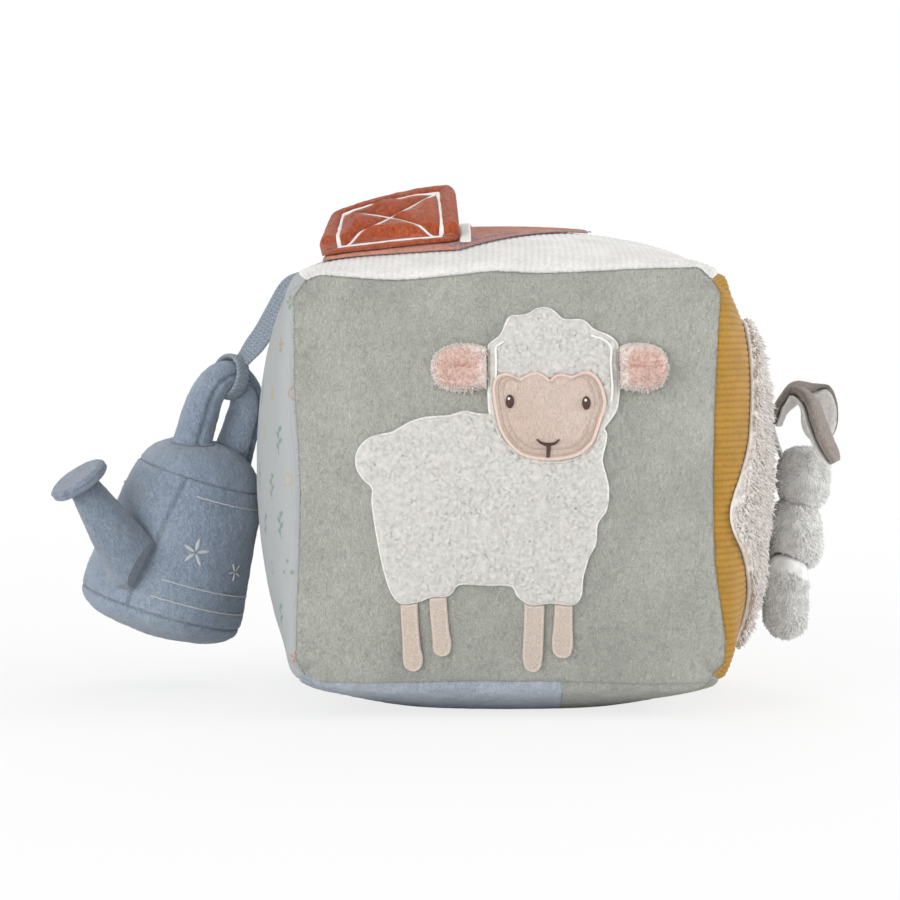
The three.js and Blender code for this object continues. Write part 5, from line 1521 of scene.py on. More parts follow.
def add_door():
    def back_height(points, distance):
        flat = with_zero(points)
        grain = noise(flat, 1.3, 61)
        level = BACK_LOW + 0.9 + 1.6 * rounded(distance, 2.0) + 0.05 * grain
        return level, np.clip(0.8 + 0.3 * grain, 0, 1)

    back_outline = resample(round_rectangle(DOOR_X, DOOR_Y + 1, DOOR_W, DOOR_D - 2, 6), 0.8, True)
    points, faces, pile = sewn(TOP, back_outline, BACK_LOW, back_height, 0.6, door_place)
    back = add_mesh(
        "door_back_velour", points, faces, RUST_BACK, "flap", pile=pile,
        nodes=["flap_back"],
    )

    film_w, film_d = DOOR_W - 6, DOOR_D - 6
    film_outline = resample(round_rectangle(DOOR_X, DOOR_Y, film_w, film_d, 3), 0.8, True)

    def film_height(points, distance):
        flat = with_zero(points)
        return FILM_LOW + 0.25 + 0.1 * noise(flat, 3, 62), 1.0

    points, faces, _ = sewn(TOP, film_outline, FILM_LOW, film_height, 0.9, door_place)
    film = add_mesh(
        "door_crinkle_film", points, faces, FILM, "flap", nodes=["flap_crinkle_film"]
    )
    flat = (film_w * MM, film_d * MM)

    def front_height(points, distance):
        flat = with_zero(points)
        grain = noise(flat, 1.4, 63)
        quilt = door_quilt(points)
        wrinkle = noise(flat, 3.5, 64) * 0.16
        level = FRONT_LOW + 0.45 + rounded(distance, 2.2) * (quilt - 0.45 + wrinkle + 0.07 * grain)
        # Lower in the quilting, darker: painted shade in the stitched dips.
        return level, np.clip(0.62 + 0.3 * grain + 0.09 * (quilt - 1.2), 0, 1)

    cover = round_rectangle(DOOR_X, DOOR_Y - SILL / 2, DOOR_W, DOOR_D + SILL, 5)
    points, faces, pile = sewn(TOP, resample(cover, 0.8, True), FRONT_LOW, front_height, 0.42, front_place)
    front = add_mesh(
        "door_front_velour", points, faces, RUST, None, pile=pile, nodes=["flap_front"]
    )
    hinged(front)

    piping = Bunch()
    rectangle = round_rectangle(DOOR_X, PIPE_Y, DOOR_W - 2 * PIPE_IN, 2 * PIPE_HALF, 0.6)
    line = resample(rectangle, 0.15, True)
    flat = with_zero(line)
    level = FRONT_LOW + 1.75 + noise(flat, 3, 65) * 0.2
    wide = 0.95 + 0.14 * noise(flat, 1.2, 66) + 0.07 * np.cos(np.arange(len(line)) * np.pi / 2)
    piping.add(*raised_thread(front_place, *line.T, level, level + 1, wide, 0.75, 8, closed=True))
    hinged(piping.finish("door_white_piping", WHITE_THREAD, None))

    cross = Bunch()
    reach_w, reach_d = DOOR_W / 2 - PIPE_IN - 0.5, PIPE_HALF - 0.5
    for sign in (-1, 1):
        t = np.linspace(-1, 1, 90)
        route = np.stack([DOOR_X + t * reach_w, PIPE_Y + sign * t * reach_d], -1)
        level = FRONT_LOW + door_quilt(route) + 0.3
        level = np.convolve(np.pad(level, 4, "edge"), np.ones(9) / 9, "valid")
        cross.add(*raised_thread(front_place, *route.T, level, level + 1, 0.5, 0.45, 6))
    hinged(cross.finish("door_cross_stitch", WHITE_THREAD, None))


add_door()

# Watering can on its ribbon

RIBBON_Y = 25.0
RIBBON_HALF = 4.75  # of its width
CAN_LEAN, CAN_TURN = 17 * degree, 220 * degree
HANDLE_TOP = 94.0
LOOP = np.array([-104.838, 25.0, 117.038])
SEAM = np.array([-73.84, 25.0, 157.54])


def turn_matrix(axis, angle):
    axis = np.asarray(axis, float)
    cross = np.array([[0, -axis[2], axis[1]], [axis[2], 0, -axis[0]], [-axis[1], axis[0], 0]])
    return np.eye(3) + np.sin(angle) * cross + (1 - np.cos(angle)) * cross @ cross


LEAN = turn_matrix(Y, CAN_LEAN)
CAN_AXES = LEAN @ turn_matrix(Z, CAN_TURN)
CAN_ORIGIN = LOOP - LEAN @ Z * HANDLE_TOP


def on_can(points):
    return CAN_ORIGIN + np.asarray(points, float) @ CAN_AXES.T


BASE_R, TOP_R, CAN_H, SAG, DOME = 31.5, 24.0, 55.0, 8.0, 13.5
BASE_SHARES = [(0, -1), (0.4, -0.94), (0.72, -0.7), (0.92, -0.25), (1, 0.28)]
WALL_SHARES = [(0, 0), (0.1, 0.2), (0.36, 0.5), (0.66, 0.8), (1, 1)]
DOME_SHARES = [(1, 0), (0.875, 0.37), (0.667, 0.7), (0.375, 0.93), (0, 1)]
BASE_TOP = 0.28 * SAG


def can_profile(kind, step=0.5):
    if kind == "base":
        points = [(r * BASE_R, h * SAG) for r, h in BASE_SHARES]
    elif kind == "wall":
        foot = BASE_TOP + 0.3
        points = [(BASE_R + (TOP_R - BASE_R) * r, foot + (CAN_H - 0.3 - foot) * h) for r, h in WALL_SHARES]
    else:
        points = [(r * TOP_R, CAN_H + h * DOME) for r, h in DOME_SHARES]
    return resample(catmull(points, 10), step)


def revolve(profile, sides):
    turn = turns(sides)
    r, h = profile[:, :1], profile[:, 1:]
    return np.stack([r * np.cos(turn), r * np.sin(turn), h + 0 * turn], -1)


SIDE_SEAMS = [29 * degree, 209 * degree]  # round the can, at its foot
SEAM_LEAN = 13 * degree / CAN_H


def seam_dip(angle, radius, height, width=1.1):
    """How deep the cloth lies near a side seam, from 0 to 1."""
    dip = 0.0
    for seam in SIDE_SEAMS:
        seam = seam + SEAM_LEAN * height
        dip = dip + bell(turn_gap(angle, seam) * radius, width)
    return dip


def add_can_cover(name, kind, node, ends):
    """One cloth of the can. ends says whether it turns into a seam at its first and last rings."""
    profile = can_profile(kind)
    sides = 360
    grid = revolve(profile, sides)
    out = grid_normals(np.concatenate([grid, grid[:, :1]], 1))[:, :-1]
    out[:, 0] = unit(out[:, 1] + out[:, -1])
    lengths = np.concatenate([[0], np.cumsum(np.linalg.norm(np.diff(profile, axis=0), axis=1))])
    from_first, from_last = lengths, lengths[-1] - lengths
    edge = np.full(len(lengths), 1e3)
    if ends[0]:
        edge = np.minimum(edge, from_first)
    if ends[1]:
        edge = np.minimum(edge, from_last)
    edge = edge[:, None]
    world = on_can(grid)
    sign = np.sign(((world - on_can(np.array([0, 0, 25.0]))) * (out @ CAN_AXES.T)).sum(-1).mean())
    out = (out @ CAN_AXES.T) * sign
    angle = np.arctan2(grid[..., 1], grid[..., 0])
    radius = np.maximum(profile[:, :1], 1)
    coarse = noise(world, 2.6, 71)
    fine = noise(world, 1.1, 72)
    slow = noise(world, 17, 73)
    pucker = noise(np.stack([angle * radius, 0 * angle + edge * 0.4, 0 * angle], -1), 3.2, 74)
    turn = np.clip(1 - edge / 1.6, 0, 1)
    foot_seam = (kind == "base") | ((kind == "wall") & (from_first < from_last)[:, None])
    drop = np.where(foot_seam, 1.4, 0.7) * (1 - np.sqrt(1 - turn**2))
    height = 0.14 * coarse + 0.08 * fine + 0.9 * slow * smooth(edge, 0, 9)
    height = height + 0.4 * pucker * np.exp(-edge / 4.0) * smooth(edge, 0, 1)
    height = height - drop
    if kind == "wall":
        level = grid[..., 2]
        height = height - 1.0 * seam_dip(angle, radius, level) + 0.35 * seam_dip(angle, radius, level, 4.0)
    height = np.broadcast_to(height, grid.shape[:2])
    outer = world + out * height[..., None]
    inner = world - out * 1.6
    if kind != "wall":
        point_ring = 0 if kind == "base" else -1
        outer[point_ring] = outer[point_ring].mean(0)
        inner[point_ring] = inner[point_ring].mean(0)
    count = len(profile)
    points = np.concatenate([outer.reshape(-1, 3), inner.reshape(-1, 3)])
    total = count * sides
    faces = [grid_faces(count, sides, wrap=True), grid_faces(count, sides, total, wrap=True, flip=True)]
    ring = np.arange(sides)
    after = (ring + 1) % sides
    if ends[0]:
        faces.append(np.stack([ring, after, after + total, ring + total], -1))
    if ends[1]:
        last = (count - 1) * sides
        faces.append(np.stack([last + after, last + ring, last + ring + total, last + after + total], -1))
    # Painted shade: the pile darkens into the seams and in the side seams' dips.
    deep = np.where(foot_seam, -1.2, -4.0)
    pile = nap(coarse, fine) * np.clip((edge - deep) / (1 - deep), 0, 1)
    if kind == "wall":
        pile = pile * (1 - 0.4 * np.clip(seam_dip(angle, radius, level, 0.7), 0, 1))
    pile = np.broadcast_to(pile, grid.shape[:2])
    piece = add_mesh(
        name, points, faces, CAN_BLUE, "can", pile=np.concatenate([pile.ravel(), np.zeros(total)]),
        nodes=[node],
    )


add_can_cover("can_base_velour", "base", "can_base_cover", (False, True))
add_can_cover("can_side_velour", "wall", "can_side_cover", (True, True))
add_can_cover("can_top_velour", "dome", "can_top_cover", (True, False))


def add_can_filling():
    points = [(r * BASE_R, h * SAG) for r, h in BASE_SHARES]
    foot = BASE_TOP + 0.3
    points += [(BASE_R + (TOP_R - BASE_R) * r, foot + (CAN_H - 0.3 - foot) * h) for r, h in WALL_SHARES[1:-1]]
    points += [(r * TOP_R, CAN_H + h * DOME) for r, h in DOME_SHARES]
    profile = resample(np.array(points), 2.0)
    middle = np.array([0, 26.0])
    inward = profile - middle
    profile = middle + inward * (1 - 2.3 / np.linalg.norm(inward, axis=1, keepdims=True))
    profile[0, 0] = profile[-1, 0] = 0.01
    grid = on_can(revolve(profile, 48))
    lumps = noise(grid, 8, 75)
    piece = add_mesh(
        "can_batting", grid.reshape(-1, 3), [grid_faces(len(profile), 48, wrap=True)], BATTING, "can",
        pile=(0.6 + 0.3 * lumps).ravel(), nodes=["can_filling"],
    )


add_can_filling()


def can_surface_radius(height):
    profile = np.concatenate([can_profile(kind) for kind in ("base", "wall", "dome")])
    return np.interp(height, profile[:, 1], profile[:, 0])


def can_place(angle, height, lift):
    radius = can_surface_radius(height) + lift
    return on_can(np.stack([radius * np.cos(angle), radius * np.sin(angle), height], -1))


# Spout and its rose
SPOUT_START = turn_matrix(Z, 25 * degree) @ np.array([29.5, 0, 0]) + np.array([0, 0, 18.0])
SPOUT_WAY = turn_matrix(Z, -22 * degree) @ np.array([math.cos(40 * degree), 0, math.sin(40 * degree)])
SPOUT_LENGTH, SPOUT_FOOT = 36.5, 11.5
ROSE_R, ROSE_T = 11.8, 4.6


def aim_axes(way):
    """Axes of a solid turned about +Z once it is aimed along way."""
    axis = np.cross(Z, way)
    sin = np.linalg.norm(axis)
    return turn_matrix(axis / sin, math.atan2(sin, way @ Z))


SPOUT_AXES = aim_axes(SPOUT_WAY)


def add_spout():
    shares = [(0.5, -0.22), (0.9, -0.08), (1, 0), (0.87, 0.25), (0.74, 0.5), (0.61, 0.75), (0.5, 1)]
    profile = resample(catmull([(r * SPOUT_FOOT, h * SPOUT_LENGTH) for r, h in shares], 10), 0.5)
    sides = 140
    grid = revolve(profile, sides)
    world = on_can(SPOUT_START + grid @ SPOUT_AXES.T)
    coarse, fine, slow = noise(world, 2.4, 76), noise(world, 1.0, 77), noise(world, 14, 78)
    turn = turns(sides)
    seam = bell(turn_gap(turn, 3.6) * profile[:, :1], 0.8)
    height = 0.12 * coarse + 0.07 * fine + 0.35 * slow - 0.7 * seam
    radial = np.stack([np.cos(turn), np.sin(turn), 0 * turn], -1)
    grid = grid + radial[None] * height[..., None]
    local = SPOUT_START + grid @ SPOUT_AXES.T
    flat_radius = np.hypot(local[..., 0], local[..., 1])
    least = can_surface_radius(np.clip(local[..., 2], -SAG, CAN_H + DOME)) + 0.35
    push = np.maximum(least / np.maximum(flat_radius, 1e-6), 1)
    local[..., 0] *= push
    local[..., 1] *= push
    around = np.arctan2(local[..., 1], local[..., 0])
    beyond = np.maximum(around - SIDE_SEAMS[0] - SEAM_LEAN * local[..., 2] + 0.02, 0)[..., None]
    aside = np.stack([-np.sin(around), np.cos(around), 0 * around], -1)
    local = local - aside * beyond * np.hypot(local[..., 0], local[..., 1])[..., None]
    outer = on_can(local)
    cap_low = outer[0].mean(0)
    cap_high = outer[-1].mean(0)
    count = len(profile)
    points = np.concatenate([outer.reshape(-1, 3), [cap_low, cap_high]])
    ring = np.arange(sides)
    after = (ring + 1) % sides
    last = (count - 1) * sides
    faces = [
        grid_faces(count, sides, wrap=True),
        np.stack([ring, after, np.full(sides, count * sides)], -1),
        np.stack([last + after, last + ring, np.full(sides, count * sides + 1)], -1),
    ]
    # The whole spout is darker as painted shade, more so along its seam and at its end caps.
    pile = 0.6 * nap(coarse, fine, 0.5 * seam)
    piece = add_mesh(
        "can_spout_velour", points, faces, CAN_BLUE, "can", pile=np.append(pile.ravel(), [0.3, 0.3]),
        nodes=["can_spout"],
    )

    shares = [
        (0, 0), (0.5, 0), (0.8, 0.0), (0.94, 0.15), (1, 0.5), (0.94, 0.85), (0.8, 1), (0.45, 0.96), (0, 0.93),
    ]
    profile = resample(catmull([(r * ROSE_R, h * ROSE_T) for r, h in shares], 8), 0.4)
    profile[0, 0] = profile[-1, 0] = 0.01
    grid = revolve(profile, 160)
    world = on_can(SPOUT_START + SPOUT_WAY * (SPOUT_LENGTH + 0.3) + grid @ SPOUT_AXES.T)
    coarse, fine = noise(world, 2.2, 79), noise(world, 1.0, 80)
    middle = on_can(SPOUT_START + SPOUT_WAY * (SPOUT_LENGTH + 0.3 + ROSE_T / 2))
    way = unit(world - middle)
    edge_share = smooth(profile[:, 0], ROSE_R * 0.7, ROSE_R)[:, None]
    on_edge = np.abs(profile[:, 1:] - ROSE_T / 2)
    groove = 0.5 * bell(on_edge, 0.45) * edge_share
    puck = noise(world, 4.0, 81) * 0.25 * edge_share
    outer = world + way * (0.12 * coarse + 0.07 * fine + puck - groove)[..., None]
    # The whole rose is darker as painted shade, more so in its groove.
    pile = 0.7 * nap(coarse, fine, 0.6 * groove)
    piece = add_mesh(
        "can_rose_velour", outer.reshape(-1, 3), [grid_faces(len(profile), 160, wrap=True)], CAN_BLUE, "can",
        pile=pile.ravel(), nodes=["can_rose"],
    )


add_spout()

HANDLE_R, HANDLE_BAR, HANDLE_FOOT = 12.4, 5.9, 8.4
HANDLE_SQUEEZE = 0.66  # what is left of the arch's half width on its squeezed side


def add_handle():
    spring = HANDLE_TOP - HANDLE_R
    heights = np.linspace(CAN_H - 2, spring, 8)[:-1]
    left_leg = [(-HANDLE_R + 1.4 * (spring - z) / spring, 0, z) for z in heights]
    arch = [(HANDLE_R * math.cos(a), 0, spring + HANDLE_R * math.sin(a)) for a in np.linspace(math.pi, 0, 17)]
    right_leg = [(-x, y, z) for x, y, z in left_leg[::-1]]
    path = np.array(left_leg + arch + right_leg)
    path[:, 0] *= np.where(path[:, 0] > 0, HANDLE_SQUEEZE, 1.0)
    path = resample(catmull(path, 4), 0.5)
    rise = np.clip((path[:, 2] - CAN_H) / (HANDLE_TOP - CAN_H), 0, 1)
    radius = HANDLE_FOOT + (HANDLE_BAR - HANDLE_FOOT) * rise
    out, across = path_frames(path, Y)
    sides = 72
    grid = tube_points(path, out, across, radius, radius, sides)
    world = on_can(grid)
    turn = turns(sides)
    coarse, fine, slow = noise(world, 2.4, 82), noise(world, 1.0, 83), noise(world, 12, 84)
    seam = 0.0
    for at in (0.5 * np.pi - 0.35, 1.5 * np.pi):
        seam = seam + bell(turn_gap(turn, at) * 6, 0.75)
    height = 0.12 * coarse + 0.07 * fine + 0.4 * slow - 0.85 * seam[None]
    radial = unit(grid - path[:, None])
    grid = grid + radial * height[..., None]
    flat = np.hypot(grid[..., 0], grid[..., 1])
    dome = can_profile("dome")
    order = np.argsort(dome[:, 0])
    least = np.interp(flat, dome[order, 0], dome[order, 1]) + 0.35
    low = np.where(flat < TOP_R, least, grid[..., 2])
    grid[..., 2] = np.maximum(grid[..., 2], low)
    # Darker in the seams as painted shade.
    pile = nap(coarse, fine, 0.5 * seam[None])
    points = on_can(grid).reshape(-1, 3)
    piece = add_mesh(
        "can_handle_velour", points, tube_faces(len(path), sides), CAN_BLUE, "can", pile=pile.ravel(),
        nodes=["can_handle"],
    )


add_handle()


def can_stitch_line(bunch, height, start, end, radius=0.3):
    angle = np.linspace(start * degree, end * degree, int(abs(end - start) * degree * 30 / 0.15))
    wave = 0.2 * np.sin(angle * 40)
    path = can_place(angle, np.full_like(angle, height) + wave * 0.3, 0.25)
    out = can_place(angle, np.full_like(angle, height), 2.0) - path
    out, across = path_frames(path, out)
    ridge = radius * (1 + 0.12 * np.cos(np.arange(len(angle)) * np.pi / 2))
    ridge = ridge * np.minimum(1, 0.3 + np.minimum(np.arange(len(angle)), np.arange(len(angle))[::-1]) * 0.1)
    bunch.add(tube_points(path, out, across, ridge, ridge, 8), tube_faces(len(path), 8))


PETALS = 5
CAN_LINES = [(49, 54, 132), (16, 47, 132), (9, 43, 132), (44, 228, 330), (12, 222, 330)]  # height, from, to
CAN_FLOWERS = [  # angle, height, petal length, turn
    (66, 29, 5.2, 0.3), (104, 25, 3.4, 0.9), (262, 28, 5.0, 0.1), (300, 33, 3.4, 0.6),
]


def add_can_embroidery():
    lines = Bunch()
    for height, start, end in CAN_LINES:
        can_stitch_line(lines, height, start, end)
    for middle_angle, middle_height, size, turn0 in CAN_FLOWERS:
        for k in range(PETALS):
            turn = turn0 + k * 2 * np.pi / PETALS
            t = np.linspace(0.14, 1, 24)
            x, y = t * size * np.cos(turn), t * size * np.sin(turn)
            radius = can_surface_radius(middle_height)
            angle = middle_angle * degree + x / radius
            height = middle_height + y
            wide = 0.12 + size * 0.13 * np.sin(np.pi * np.clip((t - 0.1) / 0.92, 0, 1)) ** 0.8
            ridge = 1 + 0.1 * np.cos(np.arange(len(t)) * np.pi)
            lines.add(*raised_thread(can_place, angle, height, 0.2, 2.0, wide * ridge, 0.32, 8))
    lines.finish("can_embroidery", CREAM_THREAD, "can")


add_can_embroidery()


def add_ribbon():
    bore, thick = 5.6 + 1.25, 2.0
    stand = (2.4 / 2 + 0.4) * math.sqrt(2)
    route = [SEAM]
    for drop, away in ((0.1, 0), (0.22, 0.005), (0.4, 0.03), (0.6, 0.1), (0.8, 0.24)):
        z = SEAM[2] - 40.5 * drop
        face = LEFT.height(np.array([-RIBBON_Y]), np.array([z - CENTRE[2]]))[0]
        route.append(np.array([-face - stand - 31 * away, RIBBON_Y, z]))
    to_last = unit(route[-1] - LOOP)
    route.append(LOOP + to_last * (bore + thick / 2))
    path = resample(catmull(route, 16, centripetal=True), 0.35)
    out, across = path_frames(path, -X)
    share = np.linspace(0, 1, len(path))[:, None]
    twist = -0.95 * smooth(share, 0, 0.3) * (1 - 0.35 * smooth(share, 0.8, 1))
    out, across = out * np.cos(twist) + across * np.sin(twist), across * np.cos(twist) - out * np.sin(twist)
    count, columns = len(path), 29
    t = np.linspace(-1, 1, columns)
    edge = np.sqrt(np.clip(1 - np.abs(t) ** 4, 0, 1))
    s = np.arange(count) * 0.35
    knit = 0.5 + 0.5 * np.cos(2 * np.pi * (s[:, None] / 1.5 + np.abs(((t[None] * 2.5) % 1) - 0.5) * 1.2))
    groove = 0.5 + 0.5 * np.cos(2 * np.pi * t[None] * 2.5)
    relief = 0.22 * knit + 0.12 * groove
    half = 0.85
    flat = path[:, None] + across[:, None] * (t * RIBBON_HALF)[None, :, None]
    outer = flat + out[:, None] * (half * edge[None] + relief * edge[None])[..., None]
    inner = flat - out[:, None] * (half * edge[None] + 0.1)[..., None]
    points, faces = between_grids(outer, inner)
    bunch = Bunch()
    # Darker between the knitted stitches and in the grooves: painted shade.
    pile = np.clip(0.25 + 0.6 * knit + 0.2 * groove, 0, 1)
    bunch.add(points, faces, np.concatenate([pile.ravel(), np.full(pile.size, 0.5)]))
    axis = CAN_AXES[:, 0]
    first = unit(np.cross(axis, Z))
    second = np.cross(axis, first)
    turn = turns(180)
    ring_out = np.cos(turn)[:, None] * first + np.sin(turn)[:, None] * second
    section = turns(28)
    wide = np.sign(np.cos(section)) * np.abs(np.cos(section)) ** 0.6 * 2.9
    high = np.sin(section)
    high = np.sign(high) * np.abs(high) ** 0.7 * 0.9
    knit = 0.5 + 0.5 * np.cos(2 * np.pi * (turn[:, None] * 7.5 / 1.5 + np.abs(wide[None]) / 2.0))
    radius = bore + thick / 2 + high[None] * (1 + 0.12 * knit)
    ring = LOOP + ring_out[:, None] * radius[..., None] + axis * wide[None, :, None]
    # The loop too is darker between its stitches, as painted shade.
    bunch.add(ring, tube_faces(180, 28, closed=True), np.clip(0.3 + 0.6 * knit, 0, 1))
    bunch.finish("tether_ribbon", RIBBON, "tether", ["tether_strap"])


add_ribbon()

# Fluffy patch and the plush animal on the right

PATCH_SHARES = [
    (0.25, 0.01), (0.22, 0.07), (0.18, 0.149), (0.117, 0.226), (0.064, 0.302), (0.014, 0.37),
    (0, 0.433), (0.014, 0.495), (0.045, 0.56), (0.088, 0.648), (0.11, 0.735), (0.135, 0.822),
    (0.17, 0.91), (0.24, 0.985), (0.42, 1), (0.62, 0.99), (0.85, 0.92), (0.96, 0.74),
    (1, 0.5), (0.99, 0.28), (0.9, 0.1), (0.7, 0.03), (0.4, 0),
]
PATCH_NEAR, PATCH_FAR, PATCH_FOOT, PATCH_HIGH = -70.0, 60.0, 22.0, 117.0
patch_outline = catmull([
    (PATCH_NEAR + x * (PATCH_FAR - PATCH_NEAR), PATCH_FOOT - CENTRE[2] + y * PATCH_HIGH)
    for x, y in PATCH_SHARES
], 8, closed=True)
PATCH_LIFT, PATCH_THICK = 0.55, 2.4


def add_patch():
    def height(points, distance):
        flat = with_zero(points)
        lumps = noise(flat, 4, 90)
        level = PATCH_LIFT + 0.5 + (PATCH_THICK - 0.5) * rounded(distance, 2.0) + 0.2 * lumps
        return level, np.clip(0.7 + 0.2 * lumps, 0, 1)

    bunch = Bunch()
    points, faces, pile = sewn(RIGHT, patch_outline, PATCH_LIFT, height, 1.2)
    bunch.add(points, faces, pile)
    spots = scatter_in(patch_outline, 1.5, 91)
    distance = outline_distance(spots, patch_outline)
    spots, distance = spots[distance > 0.3], distance[distance > 0.3]
    level = PATCH_LIFT + 0.4 + (PATCH_THICK - 0.5) * rounded(distance, 2.0)
    roots = RIGHT.lift(spots[:, 0], spots[:, 1], level)
    steps = np.eye(2) * 0.3
    slope = np.stack([
        outline_distance(spots + d, patch_outline) - outline_distance(spots - d, patch_outline) for d in steps
    ], -1)
    outward = -unit(slope) * (1 - smooth(distance, 0.5, 3.5))[:, None]
    aside = np.stack([0 * distance, outward[:, 0], outward[:, 1]], -1)
    outs = RIGHT.normal(spots[:, 0], spots[:, 1]) + aside * 1.3
    clump = np.stack([noise(roots, 6, seed) for seed in (92, 93, 94)], -1) * 0.5
    lengths = (2.6 + 0.8 * noise(roots, 7, 95)) * (0.65 + 0.35 * smooth(distance, 1, 7))
    animal_room = (np.abs(roots[:, 1]) < 24) & (roots[:, 2] < 132)
    lengths = np.where(animal_room, np.minimum(lengths, 0.9), lengths)
    bunch.add(*tufts(roots, unit(outs + clump), lengths, 0.5, 96))
    piece = bunch.finish("fluffy_plush", PATCH, "cube", ["fluffy_patch"])
    edge = Bunch()
    edge.add(*cord_on(RIGHT, grow(patch_outline, -0.2), PATCH_LIFT + 0.2, 1.0, 0.7, pitch=1.2))
    edge.finish("fluffy_patch_edge", PATCH_EDGE, "cube")


add_patch()

PIVOT = np.array([97.959, 0.0, 108.308])
HEAD_AT = PIVOT + np.array([13.5, 0, -28.0])
TORSO_AT = PIVOT + np.array([10.6, 0, -48.0])
HIPS = [PIVOT + np.array([6.8, side * 8.3, -63.0]) for side in (-1, 1)]
HEAD_SIZE = np.array([19.0, 26.0, 23.0])
TORSO_SIZE = np.array([19.4, 29.0, 26.0])
TORSO_PROFILE = [
    (0, -0.5), (0.55, -0.49), (0.86, -0.4), (1, -0.15), (0.94, 0.12), (0.76, 0.34), (0.5, 0.46), (0, 0.5),
]
HEAD_PROFILE = [
    (0, -0.5), (0.5, -0.46), (0.84, -0.3), (1, -0.03), (0.92, 0.24), (0.68, 0.42), (0.36, 0.49), (0, 0.5),
]
HIP_R, LEG_LENGTH, FOOT_R = 7.9, 16.7, 7.0


def plush_form(profile, size, centre, sides=96, step=0.02):
    curve = resample(catmull(profile, 10), step)
    curve[0, 0] = curve[-1, 0] = 0.002
    grid = revolve(curve, sides)
    return centre + grid * np.array([size[0] / 2, size[1] / 2, size[2]])


def push_out(points, centre, radii):
    """Points inside an ellipsoid are moved to its surface."""
    way = (points - centre) / radii
    length = np.linalg.norm(way, axis=-1, keepdims=True)
    return np.where(length < 1, centre + way / np.maximum(length, 1e-6) * radii, points)


def furry(bunch, grid, centre, seed, density=3.2, length=1.0, avoid=None):
    """A plush form with short tufts on it."""
    outs = grid_normals(np.concatenate([grid, grid[:, :1]], 1))[:, :-1]
    outs = outs * np.sign(((grid - centre) * outs).sum(-1).mean())
    lumps = noise(grid, 3, seed)
    base = grid + outs * (0.12 * lumps)[..., None]
    bunch.add(base, [grid_faces(*grid.shape[:2], wrap=True)], np.clip(0.75 + 0.15 * lumps, 0, 1))
    random = np.random.default_rng(seed)
    a, b = grid[:-1], np.roll(grid, -1, 1)[:-1]
    c, d = np.roll(grid, -1, 1)[1:], grid[1:]
    area = 0.5 * np.linalg.norm(np.cross(c - a, d - b), axis=-1)
    share = area.ravel() / area.sum()
    count = int(area.sum() * density)
    cells = random.choice(len(share), count, p=share)
    s, t = random.uniform(0, 1, (2, count, 1))
    corners = [q.reshape(-1, 3)[cells] for q in (a, b, c, d)]
    weights = ((1 - s) * (1 - t), (1 - s) * t, s * t, s * (1 - t))
    roots = sum(corner * weight for corner, weight in zip(corners, weights))
    normals = outs[:-1].reshape(-1, 3)[cells]
    if avoid is not None:
        kept = ~avoid(roots)
        roots, normals = roots[kept], normals[kept]
    clump = np.stack([noise(roots, 4, seed + k) for k in (1, 2, 3)], -1) * 0.45
    lengths = length * (1 + 0.35 * noise(roots, 5, seed + 4))
    bunch.add(*tufts(roots, unit(normals + clump), lengths, 0.36, seed + 5, 0.45))


def add_animal():
    head_grid = plush_form(HEAD_PROFILE, HEAD_SIZE, HEAD_AT)
    head = Bunch()
    furry(head, head_grid, HEAD_AT, 100)
    piece = head.finish("bunny_head_plush", BUNNY, "bunny", ["bunny_head"])

    torso_grid = plush_form(TORSO_PROFILE, TORSO_SIZE, TORSO_AT)
    torso_grid = push_out(torso_grid, HEAD_AT, HEAD_SIZE / 2 + 0.3)
    for hip in HIPS:
        torso_grid = push_out(torso_grid, hip, np.full(3, HIP_R + 0.9))

    def near_joint(points):
        close = np.zeros(len(points), bool)
        for hip in HIPS:
            close |= np.linalg.norm(points - hip, axis=1) < HIP_R + 1.3
        close |= np.linalg.norm((points - HEAD_AT) / (HEAD_SIZE / 2 + 0.9), axis=1) < 1
        return close

    torso = Bunch()
    furry(torso, torso_grid, TORSO_AT, 110, avoid=near_joint)
    piece = torso.finish("bunny_torso_plush", BUNNY, "bunny", ["bunny_torso"])

    for i, side in enumerate(("left", "right")):
        profile = [(0, HIP_R)]
        profile += [(r * HIP_R, h * LEG_LENGTH) for r, h in ((0.7, 0.35), (1, 0), (0.97, -0.3))]
        profile += [(r * FOOT_R, h * FOOT_R - LEG_LENGTH) for r, h in ((1, 0), (0.94, -0.5), (0.6, -0.85))]
        profile += [(0, -LEG_LENGTH - FOOT_R)]
        curve = resample(catmull(profile, 10), 0.6)
        curve[0, 0] = curve[-1, 0] = 0.02
        grid = HIPS[i] + revolve(curve, 72)

        def near_hip(points, hip=HIPS[i]):
            return points[:, 2] > hip[2] + 2 - 0.6 * np.maximum(points[:, 0] - hip[0], 0)

        leg = Bunch()
        furry(leg, grid, HIPS[i] - Z * 8, 120 + 10 * i, avoid=near_hip)
        body = "bunny_leg_" + side
        piece = leg.finish("bunny_leg_plush_" + side, BUNNY, body, [body])


add_animal()


